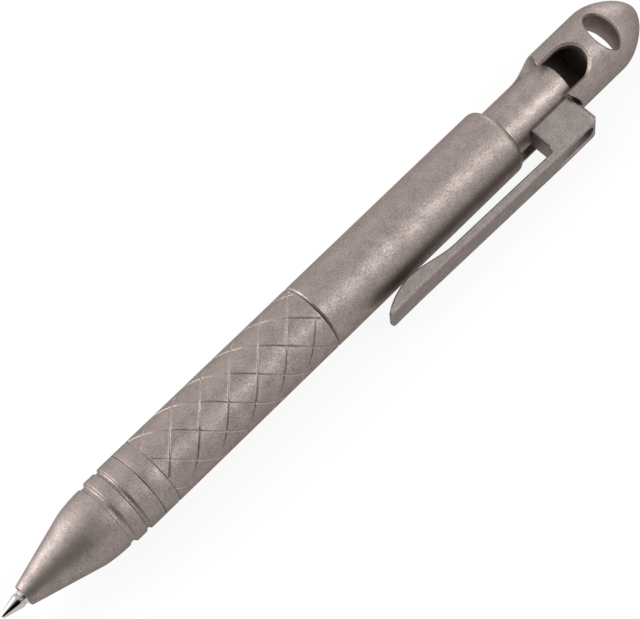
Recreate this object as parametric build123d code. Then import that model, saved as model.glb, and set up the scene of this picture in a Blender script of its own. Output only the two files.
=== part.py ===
from build123d import *
import os
from math import acos, asin, atan2, cos, degrees, hypot, radians, sin, sqrt

# A bolt action ballpoint pen turned from titanium, lying on a table. It rests on its
# barrel and on one edge of its pocket clip, which is also the handle of the bolt.
#
# The pen is built along its own axis: X runs from the writing ball to the cap, +Z is the
# front, where the slot for the retracted clip is cut, and angles about the axis are taken
# from +Z towards -Y. The last section turns the whole pen and lays it on the table.
# Every length is in millimetres.

# Clearances, broken edges and the overrun of every cut
run_clear = 0.05
seat_clear = 0.03
overrun = 1.0
edge_break = 0.25
fine_break = 0.15
thread_relief = 0.5

# Barrel: its outside, its walls round the threaded sockets and round the bolt's bore
body_r = 6.0
socket_wall = 1.05
barrel_wall = 1.7
refill_clear = 0.15

# Nose cone, from its mouth backwards
point_out = 4.5
mouth_r = 1.87
seat_room = 0.2
cone_len = 11.9
cone_end_drop = 0.78
nose_arc_len = 4.7
nose_arc_drop = 0.35
front_groove_len = 1.3
rear_groove_len = 1.0
ring_groove_slope = 0.3
front_groove_depth = 0.58
ridge_len = 1.9
ridge_drop = 0.1
rear_groove_depth = 0.42
nose_band_len = 2.9
nose_spigot_len = 8.0
spring_room_r = 2.0
shoulder_room = 0.6

# Grip
grip_band_len = 2.7
grip_groove_len = 0.35
grip_groove_depth = 0.15
knurl_len = 33.75
grip_lip_len = 0.2
grip_spigot_len = 8.5

# Sealing rings on the two threaded spigots
seal_section_r = 0.3
seal_offset = 1.4

# Upper barrel, with its window placed from the refill's end
sleeve_lead = 0.4
window_from_refill = 9.45
window_len = 11.5
window_corner_r = 1.0
window_end_round = 1.45
notch_r = 4.25
notch_front = 1.3
notch_back = 2.7
lip_round = 0.35
slot_clear = 0.375
slot_len = 6.75
slot_break = 0.3
bore_end_len = 0.15
lanyard_back = 5.6
lanyard_len = 4.2
lanyard_w = 7.2
lanyard_slant = 10.0
crown_start = 5.05
crown_len = 8.3
# Points of the crown between its shoulder and its tip: share of its length, share of its radius
CROWN_SHARES = ((0.46, 0.826), (0.70, 0.616), (0.88, 0.378))

# Bolt, which reaches over the refill's end
bolt_skirt = 6.1
bolt_above_lip = 1.65
bolt_top_break = 0.3
pad_len = 1.5

# Refill
refill_len = 98.1
refill_r = 2.95
refill_wall = 0.3
ball_r = 0.35
socket_clear = 0.01
socket_lip = 0.22
point_r = 1.245
point_tip_r = 0.42
point_cone_len = 3.1
point_len = 9.5
neck_r = 1.5
neck_bore_r = 0.9
neck_len = 9.9
ink_len = 52.0
plug_len = 3.2
plug_stem_len = 4.0
plug_notch = 1.0

# Return spring
spring_wire_r = 0.18
spring_turns = 8

# Clip: how far its faces stand off the barrel, then its block, blade and foot
clip_rise = 4.15
clip_foot_rise = 3.58
clip_foot_gap = 1.05
clip_w = 5.35
clip_t = 1.35
clip_len = 46.75
clip_headroom = 0.6
clip_shelf_gap = 0.25
clip_shelf_len = 0.7
clip_block_len = 9.15
clip_block_break = 0.5
clip_block_corner = 0.9
clip_foot_break = 0.85
clip_top_round = 1.2
clip_inner_round = 0.8
clip_foot_back = 6.75
clip_foot_run = 8.6
clip_foot_slope = 0.6
clip_tip_r = 0.3
clip_edge = 0.3
clip_plan_r = 1.6
run_out_w = 3.1
run_out_len = 6.65
run_out_depth = 1.1

# Clip screw
screw_head_r = 1.2
screw_head_len = 1.3
screw_shank_r = 0.8
screw_shank_len = 4.6
screw_sink = 1.9
screw_from_top = 2.85
screw_socket_r = 0.6
screw_socket_depth = 0.7

# How far the clip turns from its lock to the slot, and how far it is pressed down meanwhile
clip_turn = 78.0
clip_press = 2.1

# Stations along the pen and radii, worked out from the sizes above
x_mouth = point_out
x_cone = x_mouth + cone_len
x_arc = x_cone + nose_arc_len
x_ridge = x_arc + front_groove_len
x_rear_groove = x_ridge + ridge_len
x_band = x_rear_groove + rear_groove_len
x_seam = x_band + nose_band_len
x_grip_groove = x_seam + grip_band_len
x_knurl = x_grip_groove + grip_groove_len
x_sleeve = x_knurl + knurl_len + grip_lip_len
x_window = refill_len + window_from_refill
x_lip = x_window + window_len
x_notch = x_lip - notch_back
x_slot_end = x_lip + slot_len
x_bore_end = x_slot_end + bore_end_len
x_lanyard = x_slot_end + lanyard_back
x_crown = x_slot_end + crown_start
x_end = x_crown + crown_len

x_seat = point_len - clip_press - seat_room
x_shoulder = point_len + neck_len
x_room_end = x_shoulder - clip_press - shoulder_room
x_bolt_top = x_lip + bolt_above_lip
x_bolt_low = refill_len - bolt_skirt
x_pad = refill_len
x_pad_end = x_pad + pad_len
x_clip_top = x_notch + notch_r - clip_headroom
x_clip_shelf = x_clip_top - clip_shelf_len
x_clip_block = x_clip_top - clip_block_len
x_clip_tip = x_clip_top - clip_len
x_screw = x_clip_top - screw_from_top

cone_end_r = body_r - cone_end_drop
nose_arc_end_r = body_r - nose_arc_drop
front_groove_r = body_r - front_groove_depth
ridge_r = body_r - ridge_drop
rear_groove_r = body_r - rear_groove_depth
refill_room_r = refill_r + refill_clear
socket_r = body_r - socket_wall
spigot_r = socket_r - run_clear
bolt_room_r = body_r - barrel_wall
bolt_r = bolt_room_r - run_clear
window_floor = notch_r - notch_front
slot_half_w = clip_w / 2 + slot_clear
clip_out_r = body_r + clip_rise
clip_foot_out_r = body_r + clip_foot_rise
clip_foot_r = body_r + clip_foot_gap
clip_shelf_r = body_r + clip_shelf_gap
clip_seat_r = bolt_r + seat_clear
clip_block_low = sqrt(clip_seat_r**2 - (clip_w / 2)**2) + fine_break
screw_head_low = clip_out_r - screw_sink - screw_head_len


def rod(start, end, radius):
    """A plain cylinder on the pen's axis."""
    seat = Plane(origin=(start, 0, 0), z_dir=(1, 0, 0))
    return seat * Cylinder(radius, end - start, align=(Align.CENTER, Align.CENTER, Align.MIN))


def turned(*edges):
    """A solid turned about the pen's axis from the edges of its half section."""
    return revolve(make_face(edges), Axis.X, 360)


def seal_ring(x_face):
    """A rubber ring between a spigot's groove and the socket's wall."""
    centre = Plane(origin=(x_face + seal_offset, 0, 0), z_dir=(1, 0, 0))
    return centre * Torus(socket_r - seal_section_r - seat_clear, seal_section_r)


def seal_groove(x_face):
    """The groove that a sealing ring lies in, as a solid to cut away."""
    half = seal_section_r + run_clear
    middle = x_face + seal_offset
    floor_r = socket_r - 2 * (seal_section_r + seat_clear)
    blank = rod(middle - half, middle + half, spigot_r + overrun)
    return blank - rod(middle - half, middle + half, floor_r)


def nose_cone():
    """The screwed-in nose: cone, two ring grooves, a band and the threaded spigot."""
    x_break = x_mouth + fine_break
    r_break = mouth_r - fine_break
    x_spigot_end = x_seam + nose_spigot_len
    outline = [
        Polyline((x_mouth, 0), (x_mouth, r_break), (x_break, mouth_r), (x_cone, cone_end_r)),
        TangentArc((x_arc, nose_arc_end_r), (x_cone, cone_end_r), tangent=(-1, 0)),
        Polyline(
            (x_arc, nose_arc_end_r),
            (x_arc + ring_groove_slope, front_groove_r),
            (x_ridge - ring_groove_slope, front_groove_r),
            (x_ridge, ridge_r - fine_break),
            (x_ridge + fine_break, ridge_r),
            (x_rear_groove - fine_break, ridge_r),
            (x_rear_groove, ridge_r - fine_break),
            (x_rear_groove + ring_groove_slope, rear_groove_r),
            (x_band - ring_groove_slope, rear_groove_r),
            (x_band, body_r - fine_break),
            (x_band + fine_break, body_r),
            (x_seam, body_r),
            (x_seam, spigot_r),
            (x_spigot_end - edge_break, spigot_r),
            (x_spigot_end, spigot_r - edge_break),
            (x_spigot_end, 0),
            (x_mouth, 0),
        ),
    ]
    nose = turned(*outline)
    nose -= rod(x_mouth - overrun, x_seat + overrun, point_r + run_clear)
    nose -= rod(x_seat, x_room_end + overrun, spring_room_r)
    nose -= rod(x_room_end, x_spigot_end + overrun, refill_room_r)
    return nose - seal_groove(x_seam)


def grip_barrel():
    """The grip: a tube with a socket for the nose and a threaded spigot for the sleeve."""
    x_spigot_end = x_sleeve + grip_spigot_len
    outline = Polyline(
        (x_seam, 0),
        (x_seam, body_r - fine_break / 2),
        (x_seam + fine_break / 2, body_r),
        (x_grip_groove, body_r),
        (x_grip_groove, body_r - grip_groove_depth),
        (x_knurl, body_r - grip_groove_depth),
        (x_knurl, body_r),
        (x_sleeve - fine_break, body_r),
        (x_sleeve, body_r - fine_break),
        (x_sleeve, spigot_r),
        (x_spigot_end - edge_break, spigot_r),
        (x_spigot_end, spigot_r - edge_break),
        (x_spigot_end, 0),
        close=True,
    )
    grip = turned(outline)
    grip -= rod(x_seam - overrun, x_spigot_end + overrun, refill_room_r)
    grip -= rod(x_seam - overrun, x_seam + nose_spigot_len + thread_relief, socket_r)
    return grip - seal_groove(x_sleeve)


def window_cut():
    """The window's cross cut: an open box with a round notch, seen from the pen's side."""
    top = body_r + overrun
    rise = acos(notch_back / notch_r)
    hook = notch_front + notch_r * sin(rise)
    outline = [
        Polyline((x_lip, hook), (x_lip, top), (x_window, top), (x_window, -window_floor),
                 (x_notch, -window_floor)),
        CenterArc((x_notch, notch_front), notch_r, -90, 90 + degrees(rise)),
    ]
    face = make_face(outline)
    rounds = (((x_window, -window_floor), window_corner_r), ((x_lip, hook), lip_round))
    for place, radius in rounds:
        corner = face.vertices().sort_by_distance((*place, 0))[0]
        face = fillet(corner, radius)
    return extrude(Plane.XZ * face, amount=top, both=True)


def window_end_cut():
    """What the rounded outer edge of the window's lower end takes away, over the floor."""
    x_low = x_window - window_end_round
    r_low = body_r - window_end_round
    reach = body_r + overrun
    outline = [
        Polyline((x_low, body_r), (x_low, reach), (x_window + overrun, reach),
                 (x_window + overrun, r_low), (x_window, r_low)),
        RadiusArc((x_window, r_low), (x_low, body_r), -window_end_round),
    ]
    ring = turned(*outline)
    height = reach + window_floor
    block = Box(2 * height, 2 * reach, height, align=(Align.CENTER, Align.CENTER, Align.MIN))
    return ring & Pos(x_window, 0, -window_floor) * block


def slot_cut():
    """The round-ended slot in the front wall, with the broken edge of its rim."""
    x_low = x_window + window_corner_r
    middle = x_slot_end - slot_half_w
    room = Pos((x_low + middle) / 2, 0, body_r)
    slot = room * Box(middle - x_low, 2 * slot_half_w, 2 * body_r)
    slot += Pos(middle, 0, body_r) * Cylinder(slot_half_w, 2 * body_r)
    cone = Cone(slot_half_w, slot_half_w + 2 * body_r, 2 * body_r)
    rim_low = body_r - slot_break
    rim = Pos(middle, 0, rim_low + body_r) * cone
    keep = Pos(middle, 0, 0) * Box(body_r * 2, body_r * 2, body_r * 4,
                                   align=(Align.MIN, Align.CENTER, Align.CENTER))
    return slot + (rim & keep)


def crown_edge():
    """The crown's outline, from the cylinder's end to the tip on the axis."""
    points = [(x_crown, body_r)]
    points += [(x_crown + along * crown_len, out * body_r) for along, out in CROWN_SHARES]
    points.append((x_end, 0))
    return Spline(*points, tangents=[(1, 0), (0, -1)])


def upper_barrel():
    """Sleeve, window, slot and cap in one piece, with the bolt's bore inside."""
    outline = [
        Polyline((x_end, 0), (x_sleeve, 0), (x_sleeve, body_r - sleeve_lead),
                 (x_sleeve + sleeve_lead, body_r), (x_crown, body_r)),
        crown_edge(),
    ]
    barrel = turned(*outline)
    x_socket_end = x_sleeve + grip_spigot_len + thread_relief
    barrel -= rod(x_sleeve - overrun, x_socket_end, socket_r)
    barrel -= rod(x_socket_end - overrun, x_bore_end, bolt_room_r)
    barrel -= window_cut()
    barrel -= window_end_cut()
    barrel -= slot_cut()
    hole = extrude(Ellipse(lanyard_len / 2, lanyard_w / 2), amount=2 * body_r, both=True)
    return barrel - Pos(x_lanyard, 0, 0) * Rot(Y=-lanyard_slant) * hole


def bolt_slider():
    """The bolt: a round slider, bored for the refill's end and drilled for the clip screw."""
    outline = Polyline(
        (x_bolt_low, 0),
        (x_bolt_low, bolt_r - edge_break),
        (x_bolt_low + edge_break, bolt_r),
        (x_bolt_top - bolt_top_break, bolt_r),
        (x_bolt_top, bolt_r - bolt_top_break),
        (x_bolt_top, 0),
        close=True,
    )
    slider = turned(outline) - rod(x_bolt_low - overrun, x_pad_end, refill_room_r)
    drill = Pos(x_screw, 0, screw_head_low - screw_shank_len - seat_clear)
    drill *= Cylinder(screw_shank_r + seat_clear, body_r * 2,
                      align=(Align.CENTER, Align.CENTER, Align.MIN))
    return slider - drill


def thrust_pad():
    """The disc in the slider that the refill's end turns against."""
    return rod(x_pad, x_pad_end, refill_room_r - run_clear)


def clip_profile():
    """The clip seen from its side: block, blade and the foot that presses on the pocket."""
    x_foot = x_clip_tip + clip_foot_back
    x_run = x_foot + clip_foot_run
    x_end_arc = x_clip_tip + clip_tip_r
    fall = (clip_out_r - clip_foot_out_r) / (x_clip_block - x_foot)
    run_r = clip_foot_out_r - clip_t + fall * clip_foot_run
    outline = [
        Spline((x_run, run_r), (x_foot, clip_foot_r),
               (x_end_arc, clip_foot_out_r - 2 * clip_tip_r),
               tangents=[(-1, -fall), (-1, clip_foot_slope)]),
        ThreePointArc((x_end_arc, clip_foot_out_r - 2 * clip_tip_r),
                      (x_clip_tip, clip_foot_out_r - clip_tip_r),
                      (x_end_arc, clip_foot_out_r)),
        Polyline((x_end_arc, clip_foot_out_r), (x_foot, clip_foot_out_r),
                 (x_clip_block, clip_out_r), (x_clip_top, clip_out_r),
                 (x_clip_top, clip_shelf_r), (x_clip_shelf, clip_shelf_r),
                 (x_clip_shelf, clip_block_low), (x_clip_block, clip_block_low),
                 (x_clip_block, clip_out_r - clip_t), (x_run, run_r)),
    ]
    face = make_face(outline)
    rounds = (
        ((x_clip_top, clip_out_r), clip_top_round),
        ((x_clip_shelf, clip_block_low), clip_inner_round),
        ((x_clip_block, clip_block_low), clip_inner_round),
        ((x_clip_block, clip_out_r - clip_t), clip_block_corner),
    )
    for place, radius in rounds:
        corner = face.vertices().sort_by_distance((*place, 0))[0]
        face = fillet(corner, radius)
    return face


def clip_plan():
    """The clip seen from outside: round at the foot's end, with broken corners at the top."""
    half = clip_w / 2
    x_straight = x_clip_tip + clip_plan_r
    outline = [
        Polyline(
            (x_straight, half),
            (x_clip_top - clip_block_break, half),
            (x_clip_top, half - clip_block_break),
            (x_clip_top, clip_block_break - half),
            (x_clip_top - clip_block_break, -half),
            (x_straight, -half),
        ),
        RadiusArc((x_straight, -half), (x_clip_tip, clip_plan_r - half), clip_plan_r),
        Line((x_clip_tip, clip_plan_r - half), (x_clip_tip, half - clip_plan_r)),
        RadiusArc((x_clip_tip, half - clip_plan_r), (x_straight, half), clip_plan_r),
    ]
    return extrude(make_face(outline), amount=2 * clip_out_r)


def edge_bars(start, end, size):
    """Two bars that break the clip's long edges, one on each side, between two places."""
    run = Vector(end[0] - start[0], 0, end[1] - start[1])
    section = Rot(Z=45) * Rectangle(size * sqrt(2), size * sqrt(2))
    bars = []
    for side in (-clip_w / 2, clip_w / 2):
        seat = Plane(origin=(start[0], side, start[1]), x_dir=(0, 1, 0), z_dir=run)
        bars.append(extrude(seat * section, amount=run.length))
    return bars


def clip():
    """The clip with its broken edges, screw hole and run-out, pointing to the front."""
    blank = Plane(origin=(0, clip_w / 2, 0), x_dir=(1, 0, 0), z_dir=(0, -1, 0))
    plate = extrude(blank * clip_profile(), amount=clip_w) & clip_plan()
    seat_low = sqrt(clip_seat_r**2 - (clip_w / 2)**2)
    edges = (
        ((x_clip_tip, clip_foot_out_r), (x_clip_block, clip_out_r), clip_edge),
        ((x_clip_block, clip_out_r), (x_clip_top, clip_out_r), clip_edge),
        ((x_clip_block - overrun, seat_low), (x_clip_top, seat_low), clip_foot_break),
    )
    for start, end, size in edges:
        for bar in edge_bars(start, end, size):
            plate -= bar
    side = clip_block_break * sqrt(2)
    for edge in (-clip_w / 2, clip_w / 2):
        plate -= Pos(x_clip_shelf, edge, 0) * Rot(Z=45) * Box(side, side, 2 * clip_shelf_r)
    plate -= rod(x_clip_block - overrun, x_clip_top + overrun, clip_seat_r)
    plate -= Pos(x_screw, 0, 0) * Cylinder(screw_shank_r + run_clear, 4 * clip_out_r)
    head_room = Cylinder(screw_head_r + run_clear, clip_out_r,
                         align=(Align.CENTER, Align.CENTER, Align.MIN))
    plate -= Pos(x_screw, 0, screw_head_low) * head_room
    return plate - run_out()


def run_out():
    """The shallow tray that the screw's recess runs out in, deepest at the screw."""
    start = x_screw - run_out_len
    tray = Pos((start + x_screw) / 2, 0, 0) * Box(run_out_len, run_out_w, 4 * clip_out_r)
    tray += Pos(x_screw, 0, 0) * Cylinder(run_out_w / 2, 4 * clip_out_r)
    x_deep = x_screw + run_out_w
    depth = run_out_depth * (x_deep - start) / run_out_len
    wedge = make_face(Polyline((start, clip_out_r), (x_deep, clip_out_r - depth),
                               (x_deep, clip_out_r + overrun), (start, clip_out_r + overrun),
                               close=True))
    return tray & extrude(Plane.XZ * wedge, amount=clip_w, both=True)


def clip_screw():
    """The cap screw that holds the clip on the slider."""
    bottom = Align.CENTER, Align.CENTER, Align.MIN
    top = Align.CENTER, Align.CENTER, Align.MAX
    screw = Pos(x_screw, 0, screw_head_low) * Cylinder(screw_head_r, screw_head_len, align=bottom)
    screw += Pos(x_screw, 0, screw_head_low) * Cylinder(screw_shank_r, screw_shank_len, align=top)
    socket = extrude(RegularPolygon(screw_socket_r, 6), amount=-screw_socket_depth)
    return screw - Pos(x_screw, 0, screw_head_low + screw_head_len) * socket


def refill_ball():
    """The writing ball."""
    return Pos(ball_r, 0, 0) * Sphere(ball_r)


def refill_point():
    """The metal point that holds the ball, with its cone and its straight shank."""
    x_cone_end = socket_lip + point_cone_len
    outline = Polyline(
        (socket_lip, 0),
        (socket_lip, point_tip_r),
        (x_cone_end, point_r),
        (point_len, point_r),
        (point_len, 0),
        close=True,
    )
    point = turned(outline) - Pos(ball_r, 0, 0) * Sphere(ball_r + socket_clear)
    x_throat = 2 * ball_r - socket_clear
    return point - rod(x_throat, point_len + overrun, ball_r - 2 * socket_clear)


def refill_tube():
    """The ink tube: neck, shoulder for the spring and body, hollow for the ink."""
    x_tube_end = refill_len - plug_len
    outline = Polyline(
        (point_len, 0),
        (point_len, neck_r),
        (x_shoulder, neck_r),
        (x_shoulder, refill_r - fine_break),
        (x_shoulder + fine_break, refill_r),
        (x_tube_end, refill_r),
        (x_tube_end, 0),
        close=True,
    )
    tube = turned(outline)
    tube -= rod(point_len - overrun, x_shoulder + overrun, neck_bore_r)
    return tube - rod(x_shoulder + refill_wall, x_tube_end + overrun, refill_r - refill_wall)


def ink_paste():
    """The column of ink behind the shoulder."""
    start = x_shoulder + refill_wall
    return rod(start, start + ink_len, refill_r - refill_wall - run_clear)


def refill_plug():
    """The crown at the refill's end, with its stem in the tube and its crossed notches."""
    x_tube_end = refill_len - plug_len
    outline = Polyline(
        (x_tube_end - plug_stem_len, 0),
        (x_tube_end - plug_stem_len, refill_r - refill_wall - seat_clear),
        (x_tube_end, refill_r - refill_wall - seat_clear),
        (x_tube_end, refill_r),
        (refill_len - edge_break, refill_r),
        (refill_len, refill_r - edge_break),
        (refill_len, 0),
        close=True,
    )
    plug = turned(outline)
    notch = Box(2 * plug_notch, plug_notch, 3 * refill_r)
    for quarter in (0, 90):
        plug -= Pos(refill_len, 0, 0) * Rot(X=quarter) * notch
    return plug


def return_spring():
    """The coil between the nose's seat and the refill's shoulder."""
    reach = x_shoulder - x_seat - 2 * spring_wire_r
    middle_r = (neck_r + spring_room_r) / 2
    coil = Helix(pitch=reach / spring_turns, height=reach, radius=middle_r)
    wire = Plane(origin=coil @ 0, z_dir=coil % 0) * Circle(spring_wire_r)
    turns = sweep(wire, path=coil, is_frenet=True)
    return Plane(origin=(x_seat + spring_wire_r, 0, 0), z_dir=(1, 0, 0)) * turns


def lay_down():
    """Where the pen lies: its middle over the origin, its barrel and clip on the table."""
    edge_reach = hypot(clip_out_r - clip_edge, clip_w / 2)
    edge_angle = atan2(clip_w / 2, clip_out_r - clip_edge)
    droop = asin(body_r / edge_reach) - edge_angle
    clip_side = clip_out_r * cos(droop) + (clip_w / 2 - clip_edge) * sin(droop)
    front = 90 + degrees(droop) - clip_turn
    print("clip below level", degrees(droop), "front from straight up", front)
    print("axis at", -x_end / 2, (clip_side - body_r) / 2, body_r)
    return Pos(-x_end / 2, (clip_side - body_r) / 2, body_r) * Rot(X=front)


# The pieces that keep still, those that only slide and those that also turn with the clip
pen = {
    "nose_cone": nose_cone(),
    "nose_seal": seal_ring(x_seam),
    "grip_barrel": grip_barrel(),
    "barrel_seal": seal_ring(x_sleeve),
    "upper_barrel": upper_barrel(),
    "return_spring": return_spring(),
    "refill_ball": refill_ball(),
    "refill_point": refill_point(),
    "refill_tube": refill_tube(),
    "ink_paste": ink_paste(),
    "refill_plug": refill_plug(),
}
locked = Rot(X=clip_turn)
pen["bolt_slider"] = locked * bolt_slider()
pen["thrust_pad"] = locked * thrust_pad()
pen["clip"] = locked * clip()
pen["clip_screw"] = locked * clip_screw()

os.makedirs("parts", exist_ok=True)
place = lay_down()
for name, piece in pen.items():
    export_step(place * piece, f"parts/{name}.step")
print("pen length", x_end, "clip turns with", clip_press / radians(clip_turn), "mm per radian")
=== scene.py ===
"""Looks of a bolt action ballpoint pen turned from titanium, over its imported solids.

Every piece is modelled in the pen's own frame, in millimetres and degrees: X runs from the
writing ball to the cap, +Z is the front, where the slot for the clip is cut, and angles
about the axis are taken from +Z towards -Y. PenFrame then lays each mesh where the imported
solids lie.
"""

import logging
from contextlib import contextmanager
from dataclasses import dataclass, field
from enum import Enum
from math import acos, asin, atan, atan2, cos, degrees, hypot, pi, radians, sin, sqrt, tan
from typing import Callable, Iterator, Sequence

import bmesh
import bpy
import numpy as np
from mathutils import Matrix, Vector

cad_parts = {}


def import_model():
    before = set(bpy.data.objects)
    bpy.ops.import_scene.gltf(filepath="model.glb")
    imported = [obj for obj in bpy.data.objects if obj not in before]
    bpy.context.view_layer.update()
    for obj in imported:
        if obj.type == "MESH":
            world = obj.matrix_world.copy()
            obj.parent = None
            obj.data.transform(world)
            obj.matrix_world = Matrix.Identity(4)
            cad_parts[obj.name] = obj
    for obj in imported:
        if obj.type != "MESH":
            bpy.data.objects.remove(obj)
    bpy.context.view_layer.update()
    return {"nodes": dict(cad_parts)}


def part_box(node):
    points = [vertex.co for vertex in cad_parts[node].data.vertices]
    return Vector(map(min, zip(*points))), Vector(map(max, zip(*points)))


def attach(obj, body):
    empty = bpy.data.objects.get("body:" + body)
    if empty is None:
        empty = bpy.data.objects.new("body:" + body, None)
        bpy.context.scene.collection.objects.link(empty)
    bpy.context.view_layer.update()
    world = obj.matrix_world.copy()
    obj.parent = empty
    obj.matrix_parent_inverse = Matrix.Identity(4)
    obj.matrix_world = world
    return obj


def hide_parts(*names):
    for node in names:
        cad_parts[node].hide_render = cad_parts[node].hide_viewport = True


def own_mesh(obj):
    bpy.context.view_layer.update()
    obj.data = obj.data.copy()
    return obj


LOG = logging.getLogger("pen")
MM = 0.001
MM_PER_M = 1000.0
SHARP_ANGLE = radians(28.0)
FLAT_WEIGHT = 80
MERGE_MM = 1e-4
PLANE_MM = 1e-5
POLE_MM = 1e-6
ROUNDING_SHARE = 0.49
NEARLY_STRAIGHT = radians(88.5)
SHARPEST_MITRE = 0.45

Flat = tuple[float, float]
Corner = tuple[float, float, float]
Spot = tuple[float, float, float]
Colour = tuple[float, float, float]

TIP = Vector((0.0, 0.0, 0.0)).freeze()
PEN_X = Vector((1.0, 0.0, 0.0)).freeze()
PEN_Y = Vector((0.0, 1.0, 0.0)).freeze()
PEN_Z = Vector((0.0, 0.0, 1.0)).freeze()


class Body(Enum):
    """The bodies that pieces ride on."""

    BARREL = "barrel"
    REFILL = "refill"
    BOLT = "bolt"


class Carve(Enum):
    """What one mesh does to another."""

    CUT = "DIFFERENCE"
    KEEP = "INTERSECT"


class Socket(Enum):
    """The kinds of socket that the node groups have."""

    NUMBER = "NodeSocketFloat"
    COLOUR = "NodeSocketColor"
    SHAPE = "NodeSocketGeometry"
    MATERIAL = "NodeSocketMaterial"


@dataclass(frozen=True)
class PenSizes:
    """Sizes in millimetres and degrees that more than one piece needs."""

    body_r: float = 5.997
    socket_r: float = 4.95
    spigot_r: float = 4.9
    spigot_round: float = 0.25
    bore_round: float = 0.1
    seam_round: float = 0.07
    bolt_room_r: float = 4.3
    bolt_r: float = 4.25
    refill_room_r: float = 3.1
    x_seam: float = 28.2
    x_sleeve: float = 65.2
    x_window: float = 107.55
    x_lip: float = 119.05
    x_slot_end: float = 125.8
    clip_w: float = 5.35
    clip_out_r: float = 10.15
    clip_edge: float = 0.3
    clip_turn: float = 78.0
    x_screw: float = 117.15
    x_spring_seat: float = 7.2

    def front_angle(self) -> float:
        """Angle of the pen's front from straight up, as it lies on barrel and clip.

        Returns:
            The angle in degrees, from +Z towards -Y.
        """
        reach = hypot(self.clip_out_r - self.clip_edge, self.clip_w / 2)
        edge = atan2(self.clip_w / 2, self.clip_out_r - self.clip_edge)
        droop = asin(self.body_r / reach) - edge
        return 90.0 + degrees(droop) - self.clip_turn


@dataclass(frozen=True)
class PenFrame:
    """Where the pen lies in the room: its tip, its axis and the angle of its front."""

    tip_x: float
    axis_y: float
    axis_z: float
    front: float

    @classmethod
    def from_nodes(cls, sizes: PenSizes) -> "PenFrame":
        """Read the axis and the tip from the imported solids.

        Args:
            sizes: The pen's shared sizes.

        Returns:
            The frame that the meshes are laid in.
        """
        grip_low, grip_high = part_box("grip_barrel")
        ball_low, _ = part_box("refill_ball")
        axis_y = (grip_low[1] + grip_high[1]) / 2
        axis_z = (grip_low[2] + grip_high[2]) / 2
        return cls(ball_low[0], axis_y, axis_z, sizes.front_angle())

    def on_axis(self, x: float) -> Spot:
        """A place on the pen's axis, in metres in the room, from its x in millimetres."""
        return self.tip_x + x * MM, self.axis_y, self.axis_z

    def matrix(self, turn: float = 0.0) -> Matrix:
        """Matrix from the pen's frame in millimetres to the room in metres.

        Args:
            turn: How far the piece is turned from the front, in degrees.

        Returns:
            The matrix.
        """
        spin = Matrix.Rotation(radians(self.front + turn), 4, "X")
        return Matrix.Translation(self.on_axis(0.0)) @ spin @ Matrix.Scale(MM, 4)


# Outlines


def rounded(corners: Sequence[Corner], steps: int = 5) -> list[Flat]:
    """Round the corners of a closed outline.

    Args:
        corners: Places with the radius of each corner, 0 for a sharp one.
        steps: Number of runs that an arc is made of.

    Returns:
        The points of the rounded outline.
    """
    points: list[Flat] = []
    count = len(corners)
    for index, (x, y, radius) in enumerate(corners):
        here = Vector((x, y))
        back = Vector(corners[index - 1][:2]) - here
        ahead = Vector(corners[(index + 1) % count][:2]) - here
        room = ROUNDING_SHARE * min(back.length, ahead.length)
        back.normalize()
        ahead.normalize()
        half = acos(max(-1.0, min(1.0, back.dot(ahead)))) / 2
        if radius <= 0.0 or half > NEARLY_STRAIGHT:
            points.append((x, y))
            continue
        run = min(radius / tan(half), room)
        centre = here + (back + ahead).normalized() * (run / cos(half))
        start = here + back * run - centre
        end = here + ahead * run - centre
        sweep = pi - 2 * half
        for step in range(steps + 1):
            share = step / steps
            spot = (start * sin((1 - share) * sweep) + end * sin(share * sweep)) / sin(sweep)
            points.append(tuple(centre + spot))
    return points


def smooth_run(points: Sequence[Flat], first: Flat, last: Flat, steps: int = 8) -> list[Flat]:
    """Points of a smooth curve through given points, with given end directions.

    Args:
        points: Places that the curve goes through.
        first: Direction at the first point.
        last: Direction at the last point.
        steps: Number of runs between two of the points.

    Returns:
        The curve's points, both ends among them.
    """
    spots = np.array(points, dtype=float)
    gaps = np.linalg.norm(np.diff(spots, axis=0), axis=1)
    count = len(spots)
    system = np.zeros((count, count))
    right = np.zeros((count, 2))
    system[0, 0] = system[-1, -1] = 1.0
    right[0] = np.array(first) / np.linalg.norm(first)
    right[-1] = np.array(last) / np.linalg.norm(last)
    for index in range(1, count - 1):
        before, after = gaps[index - 1], gaps[index]
        system[index, index - 1] = 1 / before
        system[index, index] = 2 * (1 / before + 1 / after)
        system[index, index + 1] = 1 / after
        right[index] = 3 * (
            (spots[index] - spots[index - 1]) / before**2
            + (spots[index + 1] - spots[index]) / after**2
        )
    slopes = np.linalg.solve(system, right)
    run: list[Flat] = [tuple(spots[0])]
    for index, gap in enumerate(gaps):
        for step in range(1, steps + 1):
            t = step / steps
            place = (
                (2 * t**3 - 3 * t**2 + 1) * spots[index]
                + (t**3 - 2 * t**2 + t) * gap * slopes[index]
                + (3 * t**2 - 2 * t**3) * spots[index + 1]
                + (t**3 - t**2) * gap * slopes[index + 1]
            )
            run.append((float(place[0]), float(place[1])))
    return run


def arc_run(centre: Flat, radius: float, start: float, end: float, steps: int) -> list[Flat]:
    """Points of an arc.

    Args:
        centre: The arc's centre.
        radius: The arc's radius.
        start: Angle of the first point in degrees.
        end: Angle of the last point in degrees.
        steps: Number of runs.

    Returns:
        The arc's points, both ends among them.
    """
    turns = [radians(start + (end - start) * step / steps) for step in range(steps + 1)]
    return [(centre[0] + radius * cos(t), centre[1] + radius * sin(t)) for t in turns]


def oval(half_x: float, half_y: float, count: int) -> list[Flat]:
    """Points of an oval round the origin.

    Args:
        half_x: Half of its length.
        half_y: Half of its width.
        count: Number of points.

    Returns:
        The points, anticlockwise.
    """
    turns = (2 * pi * step / count for step in range(count))
    return [(half_x * cos(t), half_y * sin(t)) for t in turns]


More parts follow.
